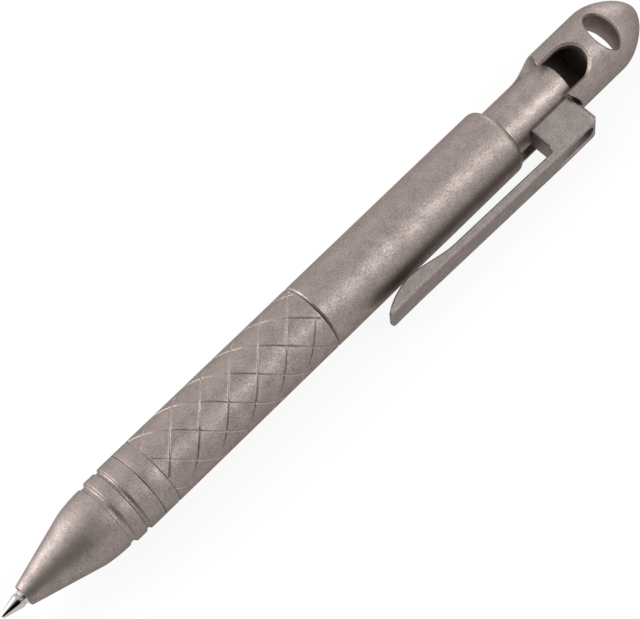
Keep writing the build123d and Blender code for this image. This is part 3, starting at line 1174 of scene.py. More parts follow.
@dataclass
class Grip(SubAssembly):
    """The grip tube with its crossing spiral grooves."""

    x_groove: float = 30.85
    x_knurl: float = 31.25
    knurl_len: float = 33.75
    groove_depth: float = 0.22
    groove_round: float = 0.06
    groove_wall: float = 0.04
    rear_round: float = 0.19
    socket_len: float = 8.5
    spigot_len: float = 8.5
    lead: float = 37.2
    starts: int = 6
    line_half: float = 0.15
    line_depth: float = 0.13
    line_beside: float = 0.12
    left_phase: float = 0.42
    right_phase: float = 0.156
    skin: float = 0.1
    columns: int = 234
    round_steps: int = 4

    def rows(self) -> list[float]:
        """Places of the close rows in which the spiral grooves are cut.

        Returns:
            Their places along the pen, about as far apart as a groove climbs in one column.
        """
        count = round(self.knurl_len / (self.lead / self.columns))
        return [self.x_knurl + self.knurl_len / count * row for row in range(1, count + 1)]

    def outline(self) -> list[Flat]:
        """The grip's half section, with close rows where the grooves are cut.

        Returns:
            Its points, from the seam over the outside and back through the bore.
        """
        size = self.sizes
        floor_r = size.body_r - self.groove_depth
        x_end = size.x_sleeve + self.spigot_len
        x_socket = size.x_seam + self.socket_len
        close = [(x, size.body_r) for x in self.rows()]
        # The socket's mouth is in both runs, because each is rounded as if it closed on itself.
        mouth = (size.x_seam, size.socket_r, size.bore_round)
        front = rounded([
            mouth,
            (size.x_seam, size.body_r, size.seam_round),
            (self.x_groove, size.body_r, self.groove_round),
            (self.x_groove + self.groove_wall, floor_r, self.groove_wall),
            (self.x_knurl - self.groove_wall, floor_r, self.groove_wall),
            (self.x_knurl, size.body_r, 0.0),
        ], self.round_steps)
        back = rounded([
            (*close[-1], 0.0),
            (size.x_sleeve, size.body_r, self.rear_round),
            (size.x_sleeve, size.spigot_r, 0.0),
            (x_end, size.spigot_r, size.spigot_round),
            (x_end, size.refill_room_r, size.bore_round),
            (x_socket, size.refill_room_r, 0.0),
            (x_socket, size.socket_r, 0.0),
            mouth,
        ], self.round_steps)
        return front + close + back[1:]

    def groove_tree(self) -> bpy.types.NodeTree:
        """Geometry nodes that sink two crossing sets of spiral lines into a turned skin.

        Returns:
            The tree, with its sizes as named inputs.
        """
        numbers = (
            "Lead", "Starts", "Line Spacing", "Half Width", "Depth",
            "Left Phase", "Right Phase", "Start", "End", "Outside")
        kit = Nodes.group(
            "crossing_grooves", "GeometryNodeTree",
            {"Geometry": Socket.SHAPE, **dict.fromkeys(numbers, Socket.NUMBER), "Material": Socket.MATERIAL},
            {"Geometry": Socket.SHAPE})
        place = kit.add("GeometryNodeInputPosition").outputs[0]
        x, y, z = kit.add("ShaderNodeSeparateXYZ", {0: place}).outputs
        around = kit.maths("DIVIDE", kit.maths("ARCTAN2", kit.product(y, -1.0), z), 2 * pi)
        along = kit.maths("DIVIDE", x, kit.given("Lead"))

        def line_depth(turns: bpy.types.NodeSocket, phase: bpy.types.NodeSocket) -> bpy.types.NodeSocket:
            """How deep the nearest line of one set is at a point.

            Args:
                turns: The point's turns round the pen, counted along the lines.
                phase: Where the set starts, as a share of the distance between two lines.

            Returns:
                A socket from 0 beside a line to 1 at its middle.
            """
            count = kit.maths("MULTIPLY_ADD", turns, kit.given("Starts"), phase)
            past = kit.maths("FRACT", kit.maths("ADD", count, 0.5))
            off = kit.maths("ABSOLUTE", kit.maths("SUBTRACT", past, 0.5))
            away = kit.maths("DIVIDE", kit.product(off, kit.given("Line Spacing")), kit.given("Half Width"))
            return kit.maths("MAXIMUM", kit.maths("SUBTRACT", 1.0, away), 0.0)

        left = line_depth(kit.maths("ADD", around, along), kit.given("Left Phase"))
        right = line_depth(kit.maths("SUBTRACT", around, along), kit.given("Right Phase"))
        radius = kit.maths("SQRT", kit.maths("ADD", kit.product(y, y), kit.product(z, z)))
        inside = kit.product(
            kit.maths("GREATER_THAN", x, kit.given("Start")),
            kit.maths("LESS_THAN", x, kit.given("End")),
            kit.maths("GREATER_THAN", radius, kit.given("Outside")))
        sink = kit.product(kit.maths("MAXIMUM", left, right), kit.given("Depth"), inside)
        share = kit.product(kit.maths("DIVIDE", sink, kit.maths("MAXIMUM", radius, self.skin)), -1.0)
        shift = kit.add("ShaderNodeCombineXYZ", {1: kit.product(y, share), 2: kit.product(z, share)})
        moves = {"Geometry": kit.given("Geometry"), "Offset": shift.outputs[0]}
        move = kit.add("GeometryNodeSetPosition", moves)
        real = kit.add("GeometryNodeRealizeInstances", {0: move.outputs[0]})
        dress = {"Geometry": real.outputs[0], "Material": kit.given("Material")}
        kit.put("Geometry", kit.add("GeometryNodeSetMaterial", dress).outputs[0])
        return kit.tree

    def close_faces(self, mesh: bpy.types.Mesh, spacing: float) -> None:
        """Give the faces beside a groove line a middle point, so that both sets run straight.

        Args:
            mesh: The turned blank, which is changed.
            spacing: Distance between two lines of one set.
        """
        x_end = self.x_knurl + self.knurl_len
        outside = self.sizes.body_r - self.skin

        def near(face: bmesh.types.BMFace) -> bool:
            """Tell whether a face lies beside a groove line.

            Args:
                face: A face of the blank.

            Returns:
                True if it does.
            """
            spot = face.calc_center_median()
            if not self.x_knurl < spot.x < x_end or hypot(spot.y, spot.z) < outside:
                return False
            around = atan2(-spot.y, spot.z) / (2 * pi)
            along = spot.x / self.lead
            counts = (
                (around + along) * self.starts + self.left_phase,
                (around - along) * self.starts + self.right_phase)
            off = min(abs((count + 0.5) % 1.0 - 0.5) for count in counts)
            return off * spacing < self.line_half + self.line_beside

        with edited(mesh) as work:
            bmesh.ops.poke(work, faces=[face for face in work.faces if near(face)])

    def build(self) -> None:
        """Turn the grip, sink its grooves and show it."""
        size = self.sizes
        rows = self.rows()
        half_row = (rows[1] - rows[0]) / 2
        girth = 2 * pi * size.body_r
        spacing = girth / self.starts * cos(atan(girth / self.lead))
        mesh = lathe("grip_grooved", self.outline(), self.columns)
        self.close_faces(mesh, spacing)
        tree = self.groove_tree()
        values = {
            "Lead": self.lead, "Starts": float(self.starts), "Line Spacing": spacing,
            "Half Width": self.line_half, "Depth": self.line_depth,
            "Left Phase": self.left_phase, "Right Phase": self.right_phase,
            "Start": self.x_knurl + half_row, "End": self.x_knurl + self.knurl_len - half_row,
            "Outside": size.body_r - self.skin, "Material": self.finishes.made["barrel_titanium"],
        }

        def set_up(holder: bpy.types.Object) -> None:
            """Add the tree with this grip's sizes.

            Args:
                holder: The object that holds the mesh.
            """
            cut = holder.modifiers.new("grooves", "NODES")
            cut.node_group = tree
            for item in tree.interface.items_tree:
                if item.in_out == "INPUT" and item.name in values:
                    cut[item.identifier] = values[item.name]

        self.show(applied(mesh, set_up), Body.BARREL, "barrel_titanium", "grip_barrel")


@dataclass
class UpperBarrel(SubAssembly):
    """Sleeve, window, slot and cap in one piece."""

    sleeve_lead: float = 0.48
    sleeve_front_round: float = 0.12
    sleeve_back_round: float = 0.25
    socket_len: float = 9.0
    x_front_row: float = 80.0
    x_back_row: float = 106.0
    round_steps: int = 4
    x_bore_end: float = 125.95
    window_floor: float = 2.95
    window_corner_r: float = 1.0
    window_flare: float = 0.14
    window_reach: float = 0.2
    window_above: float = 3.0
    window_round_steps: int = 8
    end_round: float = 1.45
    end_round_steps: int = 10
    end_round_ahead: float = 0.5
    end_round_behind: float = 0.6
    end_round_above: float = 0.02
    end_round_clear: float = 1.5
    notch_r: float = 4.25
    notch_front: float = 1.3
    notch_back: float = 2.7
    notch_stop: float = 6.0
    notch_steps: int = 40
    lip_round: float = 0.35
    slot_half_w: float = 3.05
    slot_flare: float = 0.45
    slot_start: float = 3.0
    slot_floor: float = 1.2
    slot_steps: int = 36
    x_lanyard: float = 131.25
    lanyard_len: float = 3.85
    lanyard_w: float = 7.2
    lanyard_slant: float = 8.6
    lanyard_flare: float = 0.3
    lanyard_steps: int = 72
    x_crown: float = 130.85
    crown_len: float = 8.297
    crown_shares: tuple[Flat, ...] = ((0.46, 0.826), (0.70, 0.616), (0.88, 0.378))
    crown_steps: int = 9
    columns: int = 256

    def crown(self) -> list[Flat]:
        """The crown's outline.

        Returns:
            Its points, from the shoulder to the tip on the axis.
        """
        radius = self.sizes.body_r
        spots = [(self.x_crown, radius)]
        spots += [(self.x_crown + along * self.crown_len, out * radius) for along, out in self.crown_shares]
        spots.append((self.x_crown + self.crown_len, 0.0))
        return smooth_run(spots, (1.0, 0.0), (0.0, -1.0), self.crown_steps)

    def outline(self) -> list[Flat]:
        """The barrel's half section before the window and the slot are cut.

        Returns:
            Its points, from the sleeve over the outside and back through the bore.
        """
        size = self.sizes
        x_socket = size.x_sleeve + self.socket_len
        # The last corner only steers the rounding at the socket's mouth.
        sleeve = rounded([
            (size.x_sleeve, size.socket_r, size.bore_round),
            (size.x_sleeve, size.body_r - self.sleeve_lead, self.sleeve_front_round),
            (size.x_sleeve + self.sleeve_lead, size.body_r, self.sleeve_back_round),
            (self.x_front_row, size.body_r, 0.0),
            (self.x_front_row, size.socket_r, 0.0),
        ], self.round_steps)[:-1]
        bore = [
            (self.x_bore_end, 0.0),
            (self.x_bore_end, size.bolt_room_r),
            (x_socket, size.bolt_room_r),
            (x_socket, size.socket_r),
        ]
        return [*sleeve, (self.x_back_row, size.body_r), *self.crown(), *bore]

    def window_outline(self) -> list[Flat]:
        """The window seen from the pen's side.

        Returns:
            Its points in X and Z, anticlockwise.
        """
        size = self.sizes
        x_notch = size.x_lip - self.notch_back
        rise = acos(self.notch_back / self.notch_r)
        hook = self.notch_front + self.notch_r * sin(rise)
        top = size.body_r + self.window_above
        stop = degrees(rise) - self.notch_stop
        notch = arc_run((x_notch, self.notch_front), self.notch_r, -90, stop, self.notch_steps)
        return rounded([
            (size.x_window, -self.window_floor, self.window_corner_r),
            *[(x, z, 0.0) for x, z in notch],
            (size.x_lip, hook, self.lip_round),
            (size.x_lip, top, 0.0),
            (size.x_window, top, 0.0),
        ], self.window_round_steps)

    def end_cutter(self) -> bpy.types.Mesh:
        """The cutter that rounds the window's lower end down towards its floor.

        Returns:
            A turned ring, kept where the window lies.
        """
        size = self.sizes
        x_start = size.x_window - self.end_round
        x_ahead = size.x_window + self.end_round_ahead
        x_behind = x_start - self.end_round_behind
        floor_r = size.body_r - self.end_round
        clear_r = size.body_r + self.end_round_clear
        ring = [
            (x_ahead, floor_r),
            *arc_run((x_start, floor_r), self.end_round, 0, 90, self.end_round_steps),
            (x_behind, size.body_r + self.end_round_above),
            (x_behind, clear_r),
            (x_ahead, clear_r),
        ]
        beyond = self.window_above
        near, far, side = x_behind - beyond, x_ahead + beyond, clear_r + beyond
        keep = post([(near, -side), (far, -side), (far, side), (near, side)], -self.window_floor, side)
        return carved(lathe("end_ring", ring, self.columns), keep, Carve.KEEP)

    def window_cutter(self, profile: Sequence[Flat]) -> bpy.types.Mesh:
        """The cutter that opens the window through both sides.

        Args:
            profile: The barrel's outer half section.

        Returns:
            The cutter.
        """
        cutter = RimCutter(
            profile, self.window_flare, across=PEN_Z, up=PEN_Y, reach=self.window_reach)
        return cutter.mesh(self.window_outline())

    def slot_cutter(self, profile: Sequence[Flat]) -> bpy.types.Mesh:
        """The cutter for the round-ended slot, which breaks its rim broadly.

        Args:
            profile: The barrel's outer half section.

        Returns:
            The cutter.
        """
        size = self.sizes
        half = self.slot_half_w
        x_start = size.x_window + self.slot_start
        end = arc_run((size.x_slot_end - half, 0.0), half, -90, 90, self.slot_steps)
        cutter = RimCutter(profile, self.slot_flare)
        return cutter.mesh([(x_start, -half), *end, (x_start, half)], self.slot_floor)

    def lanyard_cutter(self, profile: Sequence[Flat]) -> bpy.types.Mesh:
        """The cutter for the slanted oval hole through the cap.

        Args:
            profile: The barrel's outer half section.

        Returns:
            The cutter.
        """
        slant = Matrix.Rotation(radians(-self.lanyard_slant), 3, "Y")
        cutter = RimCutter(
            profile, self.lanyard_flare, PEN_X * self.x_lanyard, along=slant @ PEN_X, up=slant @ PEN_Z)
        return cutter.mesh(oval(self.lanyard_len / 2, self.lanyard_w / 2, self.lanyard_steps))

    def build(self) -> None:
        """Turn the barrel, cut it and show it."""
        profile = [(self.sizes.x_sleeve, self.sizes.body_r), *self.crown()]
        mesh = lathe("upper_barrel_milled", self.outline(), self.columns)
        mesh = carved(mesh, self.window_cutter(profile))
        mesh = carved(mesh, self.end_cutter())
        mesh = carved(mesh, self.slot_cutter(profile))
        mesh = carved(mesh, self.lanyard_cutter(profile))
        self.show(mesh, Body.BARREL, "barrel_titanium", "upper_barrel")


@dataclass
class Bolt(SubAssembly):
    """The round slider that shows in the window."""

    x_low: float = 92.0
    x_top: float = 120.7
    x_pad_end: float = 99.6
    low_round: float = 0.25
    pad_room_round: float = 0.15
    top_round: float = 0.3
    drill_r: float = 0.83
    drill_low: float = 2.3
    drill_high: float = 7.0
    drill_steps: int = 40
    columns: int = 192

    def build(self) -> None:
        """Turn the slider, drill it for the clip screw and show it."""
        size = self.sizes
        outline = rounded([
            (self.x_top, 0.0, 0.0),
            (self.x_pad_end, 0.0, 0.0),
            (self.x_pad_end, size.refill_room_r, 0.0),
            (self.x_low, size.refill_room_r, self.pad_room_round),
            (self.x_low, size.bolt_r, self.low_round),
            (self.x_top, size.bolt_r, self.top_round),
        ])
        drill = oval(self.drill_r, self.drill_r, self.drill_steps)
        mesh = lathe("bolt_slider_turned", outline, self.columns)
        mesh = carved(mesh, post(drill, self.drill_low, self.drill_high, size.x_screw))
        self.show(mesh, Body.BOLT, "bolt_titanium", "bolt_slider", size.clip_turn)


@dataclass
class Clip(SubAssembly):
    """The pocket clip that is also the bolt's handle, with its screw."""

    x_tip: float = 73.25
    x_foot: float = 80.0
    x_run: float = 88.6
    x_block: float = 110.85
    x_shelf: float = 119.3
    x_top: float = 120.0
    thick: float = 1.35
    foot_out_r: float = 9.58
    foot_r: float = 7.05
    foot_slope: float = 0.6
    foot_steps: int = 14
    foot_plan_r: float = 1.6
    tip_r: float = 0.33
    tip_steps: int = 8
    back_round: float = 3.0
    shelf_r: float = 6.25
    shelf_round: float = 0.12
    seat_r: float = 4.28
    seat_beyond: float = 2.0
    seat_columns: int = 192
    block_low: float = 3.49
    block_round: float = 0.9
    block_low_round: float = 0.8
    block_plan_r: float = 0.75
    block_break: float = 0.85
    top_round: float = 1.6
    top_plan_r: float = 1.7
    top_plan_turns: tuple[float, ...] = (10.0, 26.0, 42.0, 58.0, 74.0)
    side_steps: int = 8
    plan_steps: int = 16
    tray_w: float = 3.1
    tray_start: float = 110.5
    tray_lead: float = 0.3
    tray_depth: float = 1.1
    tray_corner_r: float = 0.5
    tray_flare: float = 0.14
    tray_steps: int = 24
    least_wall: float = 0.005
    screw_room_r: float = 1.25
    shank_room_r: float = 0.85
    shank_room_low: float = 1.0
    hole_steps: int = 64
    head_r: float = 1.2
    head_low: float = 6.95
    head_len: float = 1.3
    head_round: float = 0.16
    head_low_round: float = 0.08
    shank_r: float = 0.8
    shank_low: float = 2.35
    shank_round: float = 0.12
    socket_r: float = 0.6
    socket_depth: float = 0.7
    socket_break: float = 0.08
    screw_columns: int = 96
    clear: float = 1.0

    def side_outline(self) -> list[Flat]:
        """The clip seen from its side.

        Returns:
            Its points in X and Z, anticlockwise.
        """
        size = self.sizes
        fall = (size.clip_out_r - self.foot_out_r) / (self.x_block - self.x_foot)
        run_r = self.foot_out_r - self.thick + fall * (self.x_run - self.x_foot)
        x_end = self.x_tip + self.tip_r
        under = [(self.x_run, run_r), (self.x_foot, self.foot_r), (x_end, self.foot_out_r - 2 * self.tip_r)]
        foot = smooth_run(under, (-1.0, -fall), (-1.0, self.foot_slope), self.foot_steps)
        tip = arc_run((x_end, self.foot_out_r - self.tip_r), self.tip_r, 270, 90, self.tip_steps)
        return rounded([
            *[(x, z, 0.0) for x, z in reversed(tip[1:])],
            *[(x, z, 0.0) for x, z in reversed(foot)],
            (self.x_block, size.clip_out_r - self.thick, self.block_round),
            (self.x_block, self.block_low, self.block_low_round),
            (self.x_shelf, self.block_low, self.block_low_round),
            (self.x_shelf, self.shelf_r, 0.0),
            (self.x_top, self.shelf_r, self.shelf_round),
            (self.x_top, size.clip_out_r, self.top_round),
            (self.x_block, size.clip_out_r, self.back_round),
            (self.x_foot, self.foot_out_r, self.back_round),
        ], self.side_steps)

    def corner_cutters(self) -> list[bpy.types.Mesh]:
        """Cutters that round the foot's end and the block's lower end, seen from above.

        Returns:
            One for each of the four corners.
        """
        size = self.sizes
        half = size.clip_w / 2
        below_arm = size.clip_out_r - self.thick - self.block_round
        ends = (
            (self.x_tip, self.foot_plan_r, 2 * size.clip_out_r),
            (self.x_block, self.block_plan_r, below_arm))
        cutters = []
        for x_end, radius, high in ends:
            x_clear, y_clear = x_end - self.clear, half + self.clear
            arc = arc_run((x_end + radius, half - radius), radius, 180, 90, self.plan_steps)
            corner = [(x_clear, arc[0][1]), *arc, (x_end + radius, y_clear), (x_clear, y_clear)]
            for side in (1.0, -1.0):
                cutters.append(post([(x, side * y) for x, y in corner], -self.clear, high))
        return cutters

    def break_edges(self, mesh: bpy.types.Mesh) -> None:
        """Round the top's two corners and break the long edges of the block's seat.

        Args:
            mesh: The clip, which is changed.
        """
        half = self.sizes.clip_w / 2
        low = sqrt(self.seat_r**2 - half**2)
        for side in (1.0, -1.0):
            for turn in self.top_plan_turns:
                out, across = cos(radians(turn)), sin(radians(turn))
                x = self.x_top - self.top_plan_r * (1 - out)
                y = half - self.top_plan_r * (1 - across)
                slice_off(mesh, (x, side * y, 0.0), (out, side * across, 0.0))
            slice_off(mesh, (0.0, side * half, low + self.block_break), (0.0, side, -1.0))

    def seat_cutter(self) -> bpy.types.Mesh:
        """The round bar that hollows the block where it sits on the slider.

        Returns:
            The cutter.
        """
        low, high = self.x_block - self.seat_beyond, self.x_top + self.seat_beyond
        outline = [(low, 0.0), (low, self.seat_r), (high, self.seat_r), (high, 0.0)]
        return lathe("seat", outline, self.seat_columns)

    def tray_cutter(self) -> bpy.types.Mesh:
        """The cutter for the shallow tray that runs out from the screw's recess.

        Returns:
            The cutter, whose walls flare out at the top.
        """
        size = self.sizes
        half = self.tray_w / 2
        slope = self.tray_depth / (size.x_screw - self.tray_start)
        start = self.tray_start + self.tray_lead
        front = rounded([
            (start, half, self.tray_corner_r),
            (start, -half, self.tray_corner_r),
            (size.x_screw, -half, 0.0),
        ])[:-1]
        outline = [*front, *arc_run((size.x_screw, 0.0), half, -90, 90, self.tray_steps)]
        rings: list[list[Spot]] = [[], [], []]
        for (x, y), (wide_x, wide_y) in zip(outline, inset(outline, -(self.tray_flare + self.clear))):
            floor = size.clip_out_r - slope * (x - self.tray_start)
            rings[0].append((x, y, floor))
            rings[1].append((x, y, max(floor + self.least_wall, size.clip_out_r - self.tray_flare)))
            rings[2].append((wide_x, wide_y, size.clip_out_r + self.clear))
        return stack("tray", rings)

    def clip_mesh(self) -> bpy.types.Mesh:
        """Make the whole clip with its edges broken and its recess cut.

        Returns:
            The clip.
        """
        size = self.sizes
        mesh = chamfered_plate("clip_milled", self.side_outline(), size.clip_w / 2, size.clip_edge)
        for cutter in self.corner_cutters():
            mesh = carved(mesh, cutter)
        self.break_edges(mesh)
        mesh = carved(mesh, self.seat_cutter())
        mesh = carved(mesh, self.tray_cutter())
        for radius, low in ((self.screw_room_r, self.head_low), (self.shank_room_r, self.shank_room_low)):
            hole = oval(radius, radius, self.hole_steps)
            mesh = carved(mesh, post(hole, low, 2 * size.clip_out_r, size.x_screw))
        return mesh

    def screw_mesh(self) -> bpy.types.Mesh:
        """Make the cap screw with its hex socket.

        Returns:
            The screw, upright in its recess.
        """
        x_screw = self.sizes.x_screw
        top = self.head_low + self.head_len
        outline = rounded([
            (self.shank_low, 0.0, 0.0),
            (self.shank_low, self.shank_r, self.shank_round),
            (self.head_low, self.shank_r, 0.0),
            (self.head_low, self.head_r, self.head_low_round),
            (top, self.head_r, self.head_round),
            (top, 0.0, 0.0),
        ])
        mesh = lathe("clip_screw_turned", outline, self.screw_columns)
        # The lathe's axis X becomes Z, and the screw moves to its place along the pen.
        mesh.transform(Matrix(((0, 1, 0, x_screw), (0, 0, 1, 0), (1, 0, 0, 0), (0, 0, 0, 1))))
        hexagon = oval(self.socket_r, self.socket_r, 6)
        rim = top - self.socket_break
        levels = (
            (hexagon, top - self.socket_depth),
            (hexagon, rim),
            (inset(hexagon, -self.socket_r), rim + self.socket_r))
        return carved(mesh, stack("socket", [[(x_screw + x, y, z) for x, y in ring] for ring, z in levels]))

    def build(self) -> None:
        """Make the clip and its screw and show both."""
        turn = self.sizes.clip_turn
        self.show(self.clip_mesh(), Body.BOLT, "clip_titanium", "clip", turn)
        self.show(self.screw_mesh(), Body.BOLT, "screw_steel", "clip_screw", turn)


@dataclass
class Refill(SubAssembly):
    """The refill's point and ball, which show before the nose's mouth."""

    ball_r: float = 0.35
    ball_steps: int = 24
    ball_columns: int = 48
    cup_air: float = 0.01
    cup_back: float = 8.0
    cup_steps: int = 10
    x_lip: float = 0.22
    lip_r: float = 0.42
    edge_round: float = 0.05
    x_cone_end: float = 3.32
    cone_round: float = 0.9
    point_r: float = 1.245
    x_collar: float = 3.75
    collar_w: float = 0.38
    collar_wall: float = 0.08
    collar_depth: float = 0.09
    collar_round: float = 0.03
    point_len: float = 9.5
    bore_r: float = 0.33
    x_bore: float = 0.9
    columns: int = 128

    def point_outline(self) -> list[Flat]:
        """The point's half section.

        Returns:
            Its points, from the ball's cup over the outside and back through the bore.
        """
        reach = self.ball_r + self.cup_air
        mouth_r = sqrt(reach**2 - (self.x_lip - self.ball_r) ** 2)
        mouth = degrees(atan2(mouth_r, self.x_lip - self.ball_r))
        cup = arc_run((self.ball_r, 0.0), reach, self.cup_back, mouth, self.cup_steps)
        floor_r = self.point_r - self.collar_depth
        outside = rounded([
            (self.x_lip, mouth_r, 0.0),
            (self.x_lip, self.lip_r, self.edge_round),
            (self.x_cone_end, self.point_r, self.cone_round),
            (self.x_collar, self.point_r, self.edge_round),
            (self.x_collar + self.collar_wall, floor_r, self.collar_round),
            (self.x_collar + self.collar_w - self.collar_wall, floor_r, self.collar_round),
            (self.x_collar + self.collar_w, self.point_r, self.edge_round),
            (self.point_len, self.point_r, 0.0),
            (self.point_len, self.bore_r, 0.0),
            (self.x_bore, self.bore_r, 0.0),
        ])
        return [(self.x_bore, cup[0][1]), *cup, *outside[1:]]

    def build(self) -> None:
        """Turn the point and the ball and show both."""
        mesh = lathe("refill_point_turned", self.point_outline(), self.columns)
        self.show(mesh, Body.REFILL, "point_nickel", "refill_point")
        ball = arc_run((self.ball_r, 0.0), self.ball_r, 180, 0, self.ball_steps)
        ball[0], ball[-1] = (0.0, 0.0), (2 * self.ball_r, 0.0)
        mesh = lathe("refill_ball_lapped", ball, self.ball_columns)
        self.show(mesh, Body.REFILL, "ball_carbide", "refill_ball")


@dataclass
class ReturnSpring(SubAssembly):
    """The wound spring between the nose's seat and the refill's shoulder."""

    x_shoulder: float = 19.4
    coil_r: float = 1.75
    wire_r: float = 0.18
    turns: int = 8
    steps: int = 36
    sides: int = 12
    travel: float = 2.1

    def wound(self) -> bpy.types.Mesh:
        """Wind the spring.

        Returns:
            Its mesh.
        """
        x_seat = self.sizes.x_spring_seat
        run = self.x_shoulder - x_seat - 2 * self.wire_r
        climb = run / (2 * pi * self.turns)
        wire = oval(self.wire_r, self.wire_r, self.sides)
        rings = []
        for step in range(self.turns * self.steps + 1):
            angle = 2 * pi * step / self.steps
            out = Vector((0.0, cos(angle), sin(angle)))
            along = Vector((climb, -self.coil_r * sin(angle), self.coil_r * cos(angle))).normalized()
            across = along.cross(out)
            spot = PEN_X * (x_seat + self.wire_r + climb * angle) + out * self.coil_r
            rings.append([spot + out * a + across * b for a, b in wire])
        return stack("return_spring_wound", rings)

    def build(self) -> None:
        """Show the spring, with a mesh of its own."""
        piece = self.show(self.wound(), Body.BARREL, "spring_steel", "return_spring")
        anchor = self.place.on_axis(self.sizes.x_spring_seat)
        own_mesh(piece)


@dataclass(frozen=True)
class HiddenNodes:
    """Solids inside the pen that stay as they are and only get their finish."""

    slots: tuple[tuple[str, str], ...] = (
        ("nose_seal", "seal_rubber"),
        ("barrel_seal", "seal_rubber"),
        ("refill_tube", "tube_steel"),
        ("ink_paste", "ink"),
        ("refill_plug", "plug_plastic"),
        ("thrust_pad", "pad_brass"),
    )

    def dress(self, nodes: dict[str, bpy.types.Object], finishes: Finishes) -> None:
        """Give each solid its material.

        Args:
            nodes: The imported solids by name.
            finishes: The finishes that were made.
        """
        for node, slot in self.slots:
            for holder in nodes[node].material_slots:
                holder.material = finishes.made[slot]
            LOG.info("%s: carried over with %s", node, slot)


# Studio


@dataclass(frozen=True)
class SoftLight:
    """A square lamp that faces the pen."""

    name: str
    towards: Spot
    away: float
    width: float
    watts: float

    def place(self, target: Vector) -> None:
        """Hang the lamp.

        Args:
            target: What it faces.
        """
        lamp = bpy.data.lights.new(self.name, "AREA")
        lamp.energy = self.watts
        lamp.shape = "SQUARE"
        lamp.size = self.width
        out = Vector(self.towards).normalized()
        turn = out.to_track_quat("Z", "Y").to_matrix().to_4x4()
        linked(self.name, lamp).matrix_world = Matrix.Translation(target + out * self.away) @ turn


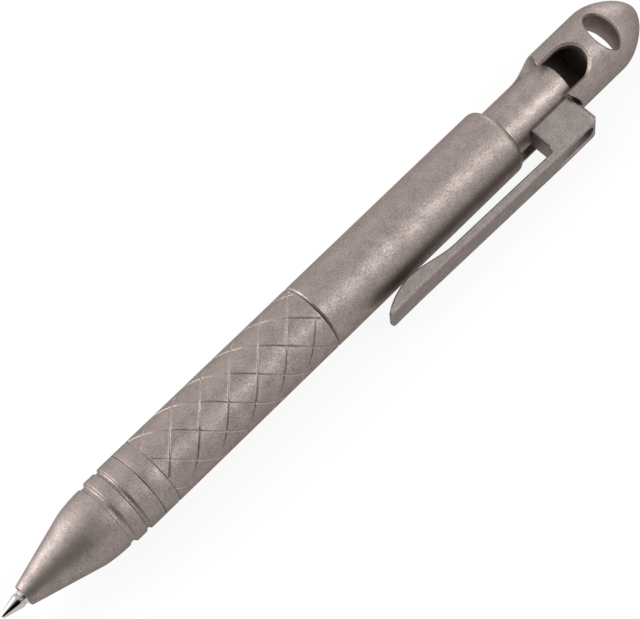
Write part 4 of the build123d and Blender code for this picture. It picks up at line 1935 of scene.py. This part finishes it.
@dataclass(frozen=True)
class Studio:
    """Floor, surroundings, lamps and the camera of the photograph.

    The place along the pen, the lens and the sensor are in millimetres, angles in
    degrees and distances in the room in metres.
    """

    turn: float = 8.5
    tilt: float = 14.5
    roll: float = 43.9729
    distance: float = 0.4054
    x_middle: float = 67.3
    nudge: tuple[float, float] = (-0.000037, 0.000039)
    lens: float = 148.5
    sensor: float = 36.0
    nearest: float = 0.01
    floor_half: float = 3.0
    floor_grey: float = 0.9
    floor_glow: float = 0.91
    ambient: float = 0.62
    dark_towards: Spot = (-0.46, -0.74, 0.50)
    dark_starts: float = 0.60
    dark_full: float = 0.92
    dark_share: float = 0.0
    lamps: tuple[SoftLight, ...] = (
        SoftLight("key", (0.42, -0.74, 0.54), away=0.55, width=0.26, watts=1.3),
        SoftLight("side", (-0.60, 0.58, 0.56), away=0.60, width=0.42, watts=3.2),
        SoftLight("far", (0.86, 0.38, 0.36), away=0.60, width=0.34, watts=0.9),
    )

    def place_camera(self, front: float, target: Vector) -> None:
        """Put the camera where the photograph was taken.

        Args:
            front: Angle of the pen's front in degrees.
            target: The place on the pen that the camera looks at.
        """
        turn, tilt, roll = radians(front + self.turn), radians(self.tilt), radians(self.roll)
        out = Vector((-sin(tilt), -cos(tilt) * sin(turn), cos(tilt) * cos(turn)))
        flat = (PEN_X - out * PEN_X.dot(out)).normalized()
        side = out.cross(flat)
        right = flat * cos(roll) - side * sin(roll)
        up = flat * sin(roll) + side * cos(roll)
        camera = bpy.data.cameras.new("camera")
        camera.lens = self.lens
        camera.sensor_width = self.sensor
        camera.clip_start = self.nearest
        matrix = Matrix((right, up, out)).transposed().to_4x4()
        matrix.translation = target + out * self.distance + right * self.nudge[0] + up * self.nudge[1]
        holder = linked("camera", camera)
        holder.matrix_world = matrix
        bpy.context.scene.camera = holder

    def place_floor(self) -> None:
        """Lay the pale floor, which stays white to the camera but keeps the shadow."""
        half = self.floor_half
        mesh = bpy.data.meshes.new("floor")
        mesh.from_pydata(
            [(-half, -half, 0), (half, -half, 0), (half, half, 0), (-half, half, 0)], [], [(0, 1, 2, 3)])
        material = bpy.data.materials.new("floor_white")
        material.use_nodes = True
        nodes = material.node_tree.nodes
        nodes.remove(nodes["Principled BSDF"])
        kit = Nodes(material.node_tree)
        plain = kit.add("ShaderNodeBsdfDiffuse", {"Color": (self.floor_grey,) * 3})
        glow = kit.add("ShaderNodeEmission", {"Color": (1.0, 1.0, 1.0), "Strength": 1.0})
        share = kit.product(kit.seen(), self.floor_glow)
        mix = kit.add("ShaderNodeMixShader", {0: share, 1: plain.outputs[0], 2: glow.outputs[0]})
        kit.feed(nodes["Material Output"].inputs["Surface"], mix.outputs[0])
        mesh.materials.append(material)
        linked("floor", mesh)

    def surround(self) -> None:
        """Light the room evenly, apart from one dark part that the metal mirrors."""
        world = bpy.data.worlds.new("room")
        bpy.context.scene.world = world
        world.use_nodes = True
        kit = Nodes(world.node_tree)
        direction = kit.add("ShaderNodeTexCoord").outputs["Generated"]
        aims = {0: direction, 1: Vector(self.dark_towards).normalized()}
        aim = kit.add("ShaderNodeVectorMath", aims, operation="DOT_PRODUCT").outputs["Value"]
        ramp = kit.add("ShaderNodeMapRange", {
            "Value": aim, "From Min": self.dark_starts, "From Max": self.dark_full,
            "To Min": 1.0, "To Max": self.dark_share,
        }, interpolation_type="SMOOTHSTEP").outputs["Result"]
        level = kit.maths("MULTIPLY_ADD", kit.seen(), 1.0 - self.ambient, self.ambient)
        back = world.node_tree.nodes["Background"].inputs
        kit.feed(back["Strength"], kit.product(level, ramp))
        kit.feed(back["Color"], (1.0, 1.0, 1.0))

    def build(self, place: PenFrame) -> None:
        """Set up everything round the pen.

        Args:
            place: Where the pen lies.
        """
        target = Vector(place.on_axis(self.x_middle))
        self.place_camera(place.front, target)
        self.place_floor()
        self.surround()
        for lamp in self.lamps:
            lamp.place(target)
        bpy.context.scene.view_settings.view_transform = "Standard"


def main() -> None:
    """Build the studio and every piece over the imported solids, in order."""
    logging.basicConfig(level=logging.INFO, format="%(name)s %(message)s")
    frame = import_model()
    sizes = PenSizes()
    place = PenFrame.from_nodes(sizes)
    Studio().build(place)
    finishes = Finishes()
    finishes.build()
    for assembly in (NoseCone, Grip, UpperBarrel, Bolt, Clip, Refill, ReturnSpring):
        assembly(sizes, place, finishes).build()
    HiddenNodes().dress(frame["nodes"], finishes)


if __name__ == "__main__":
    main()
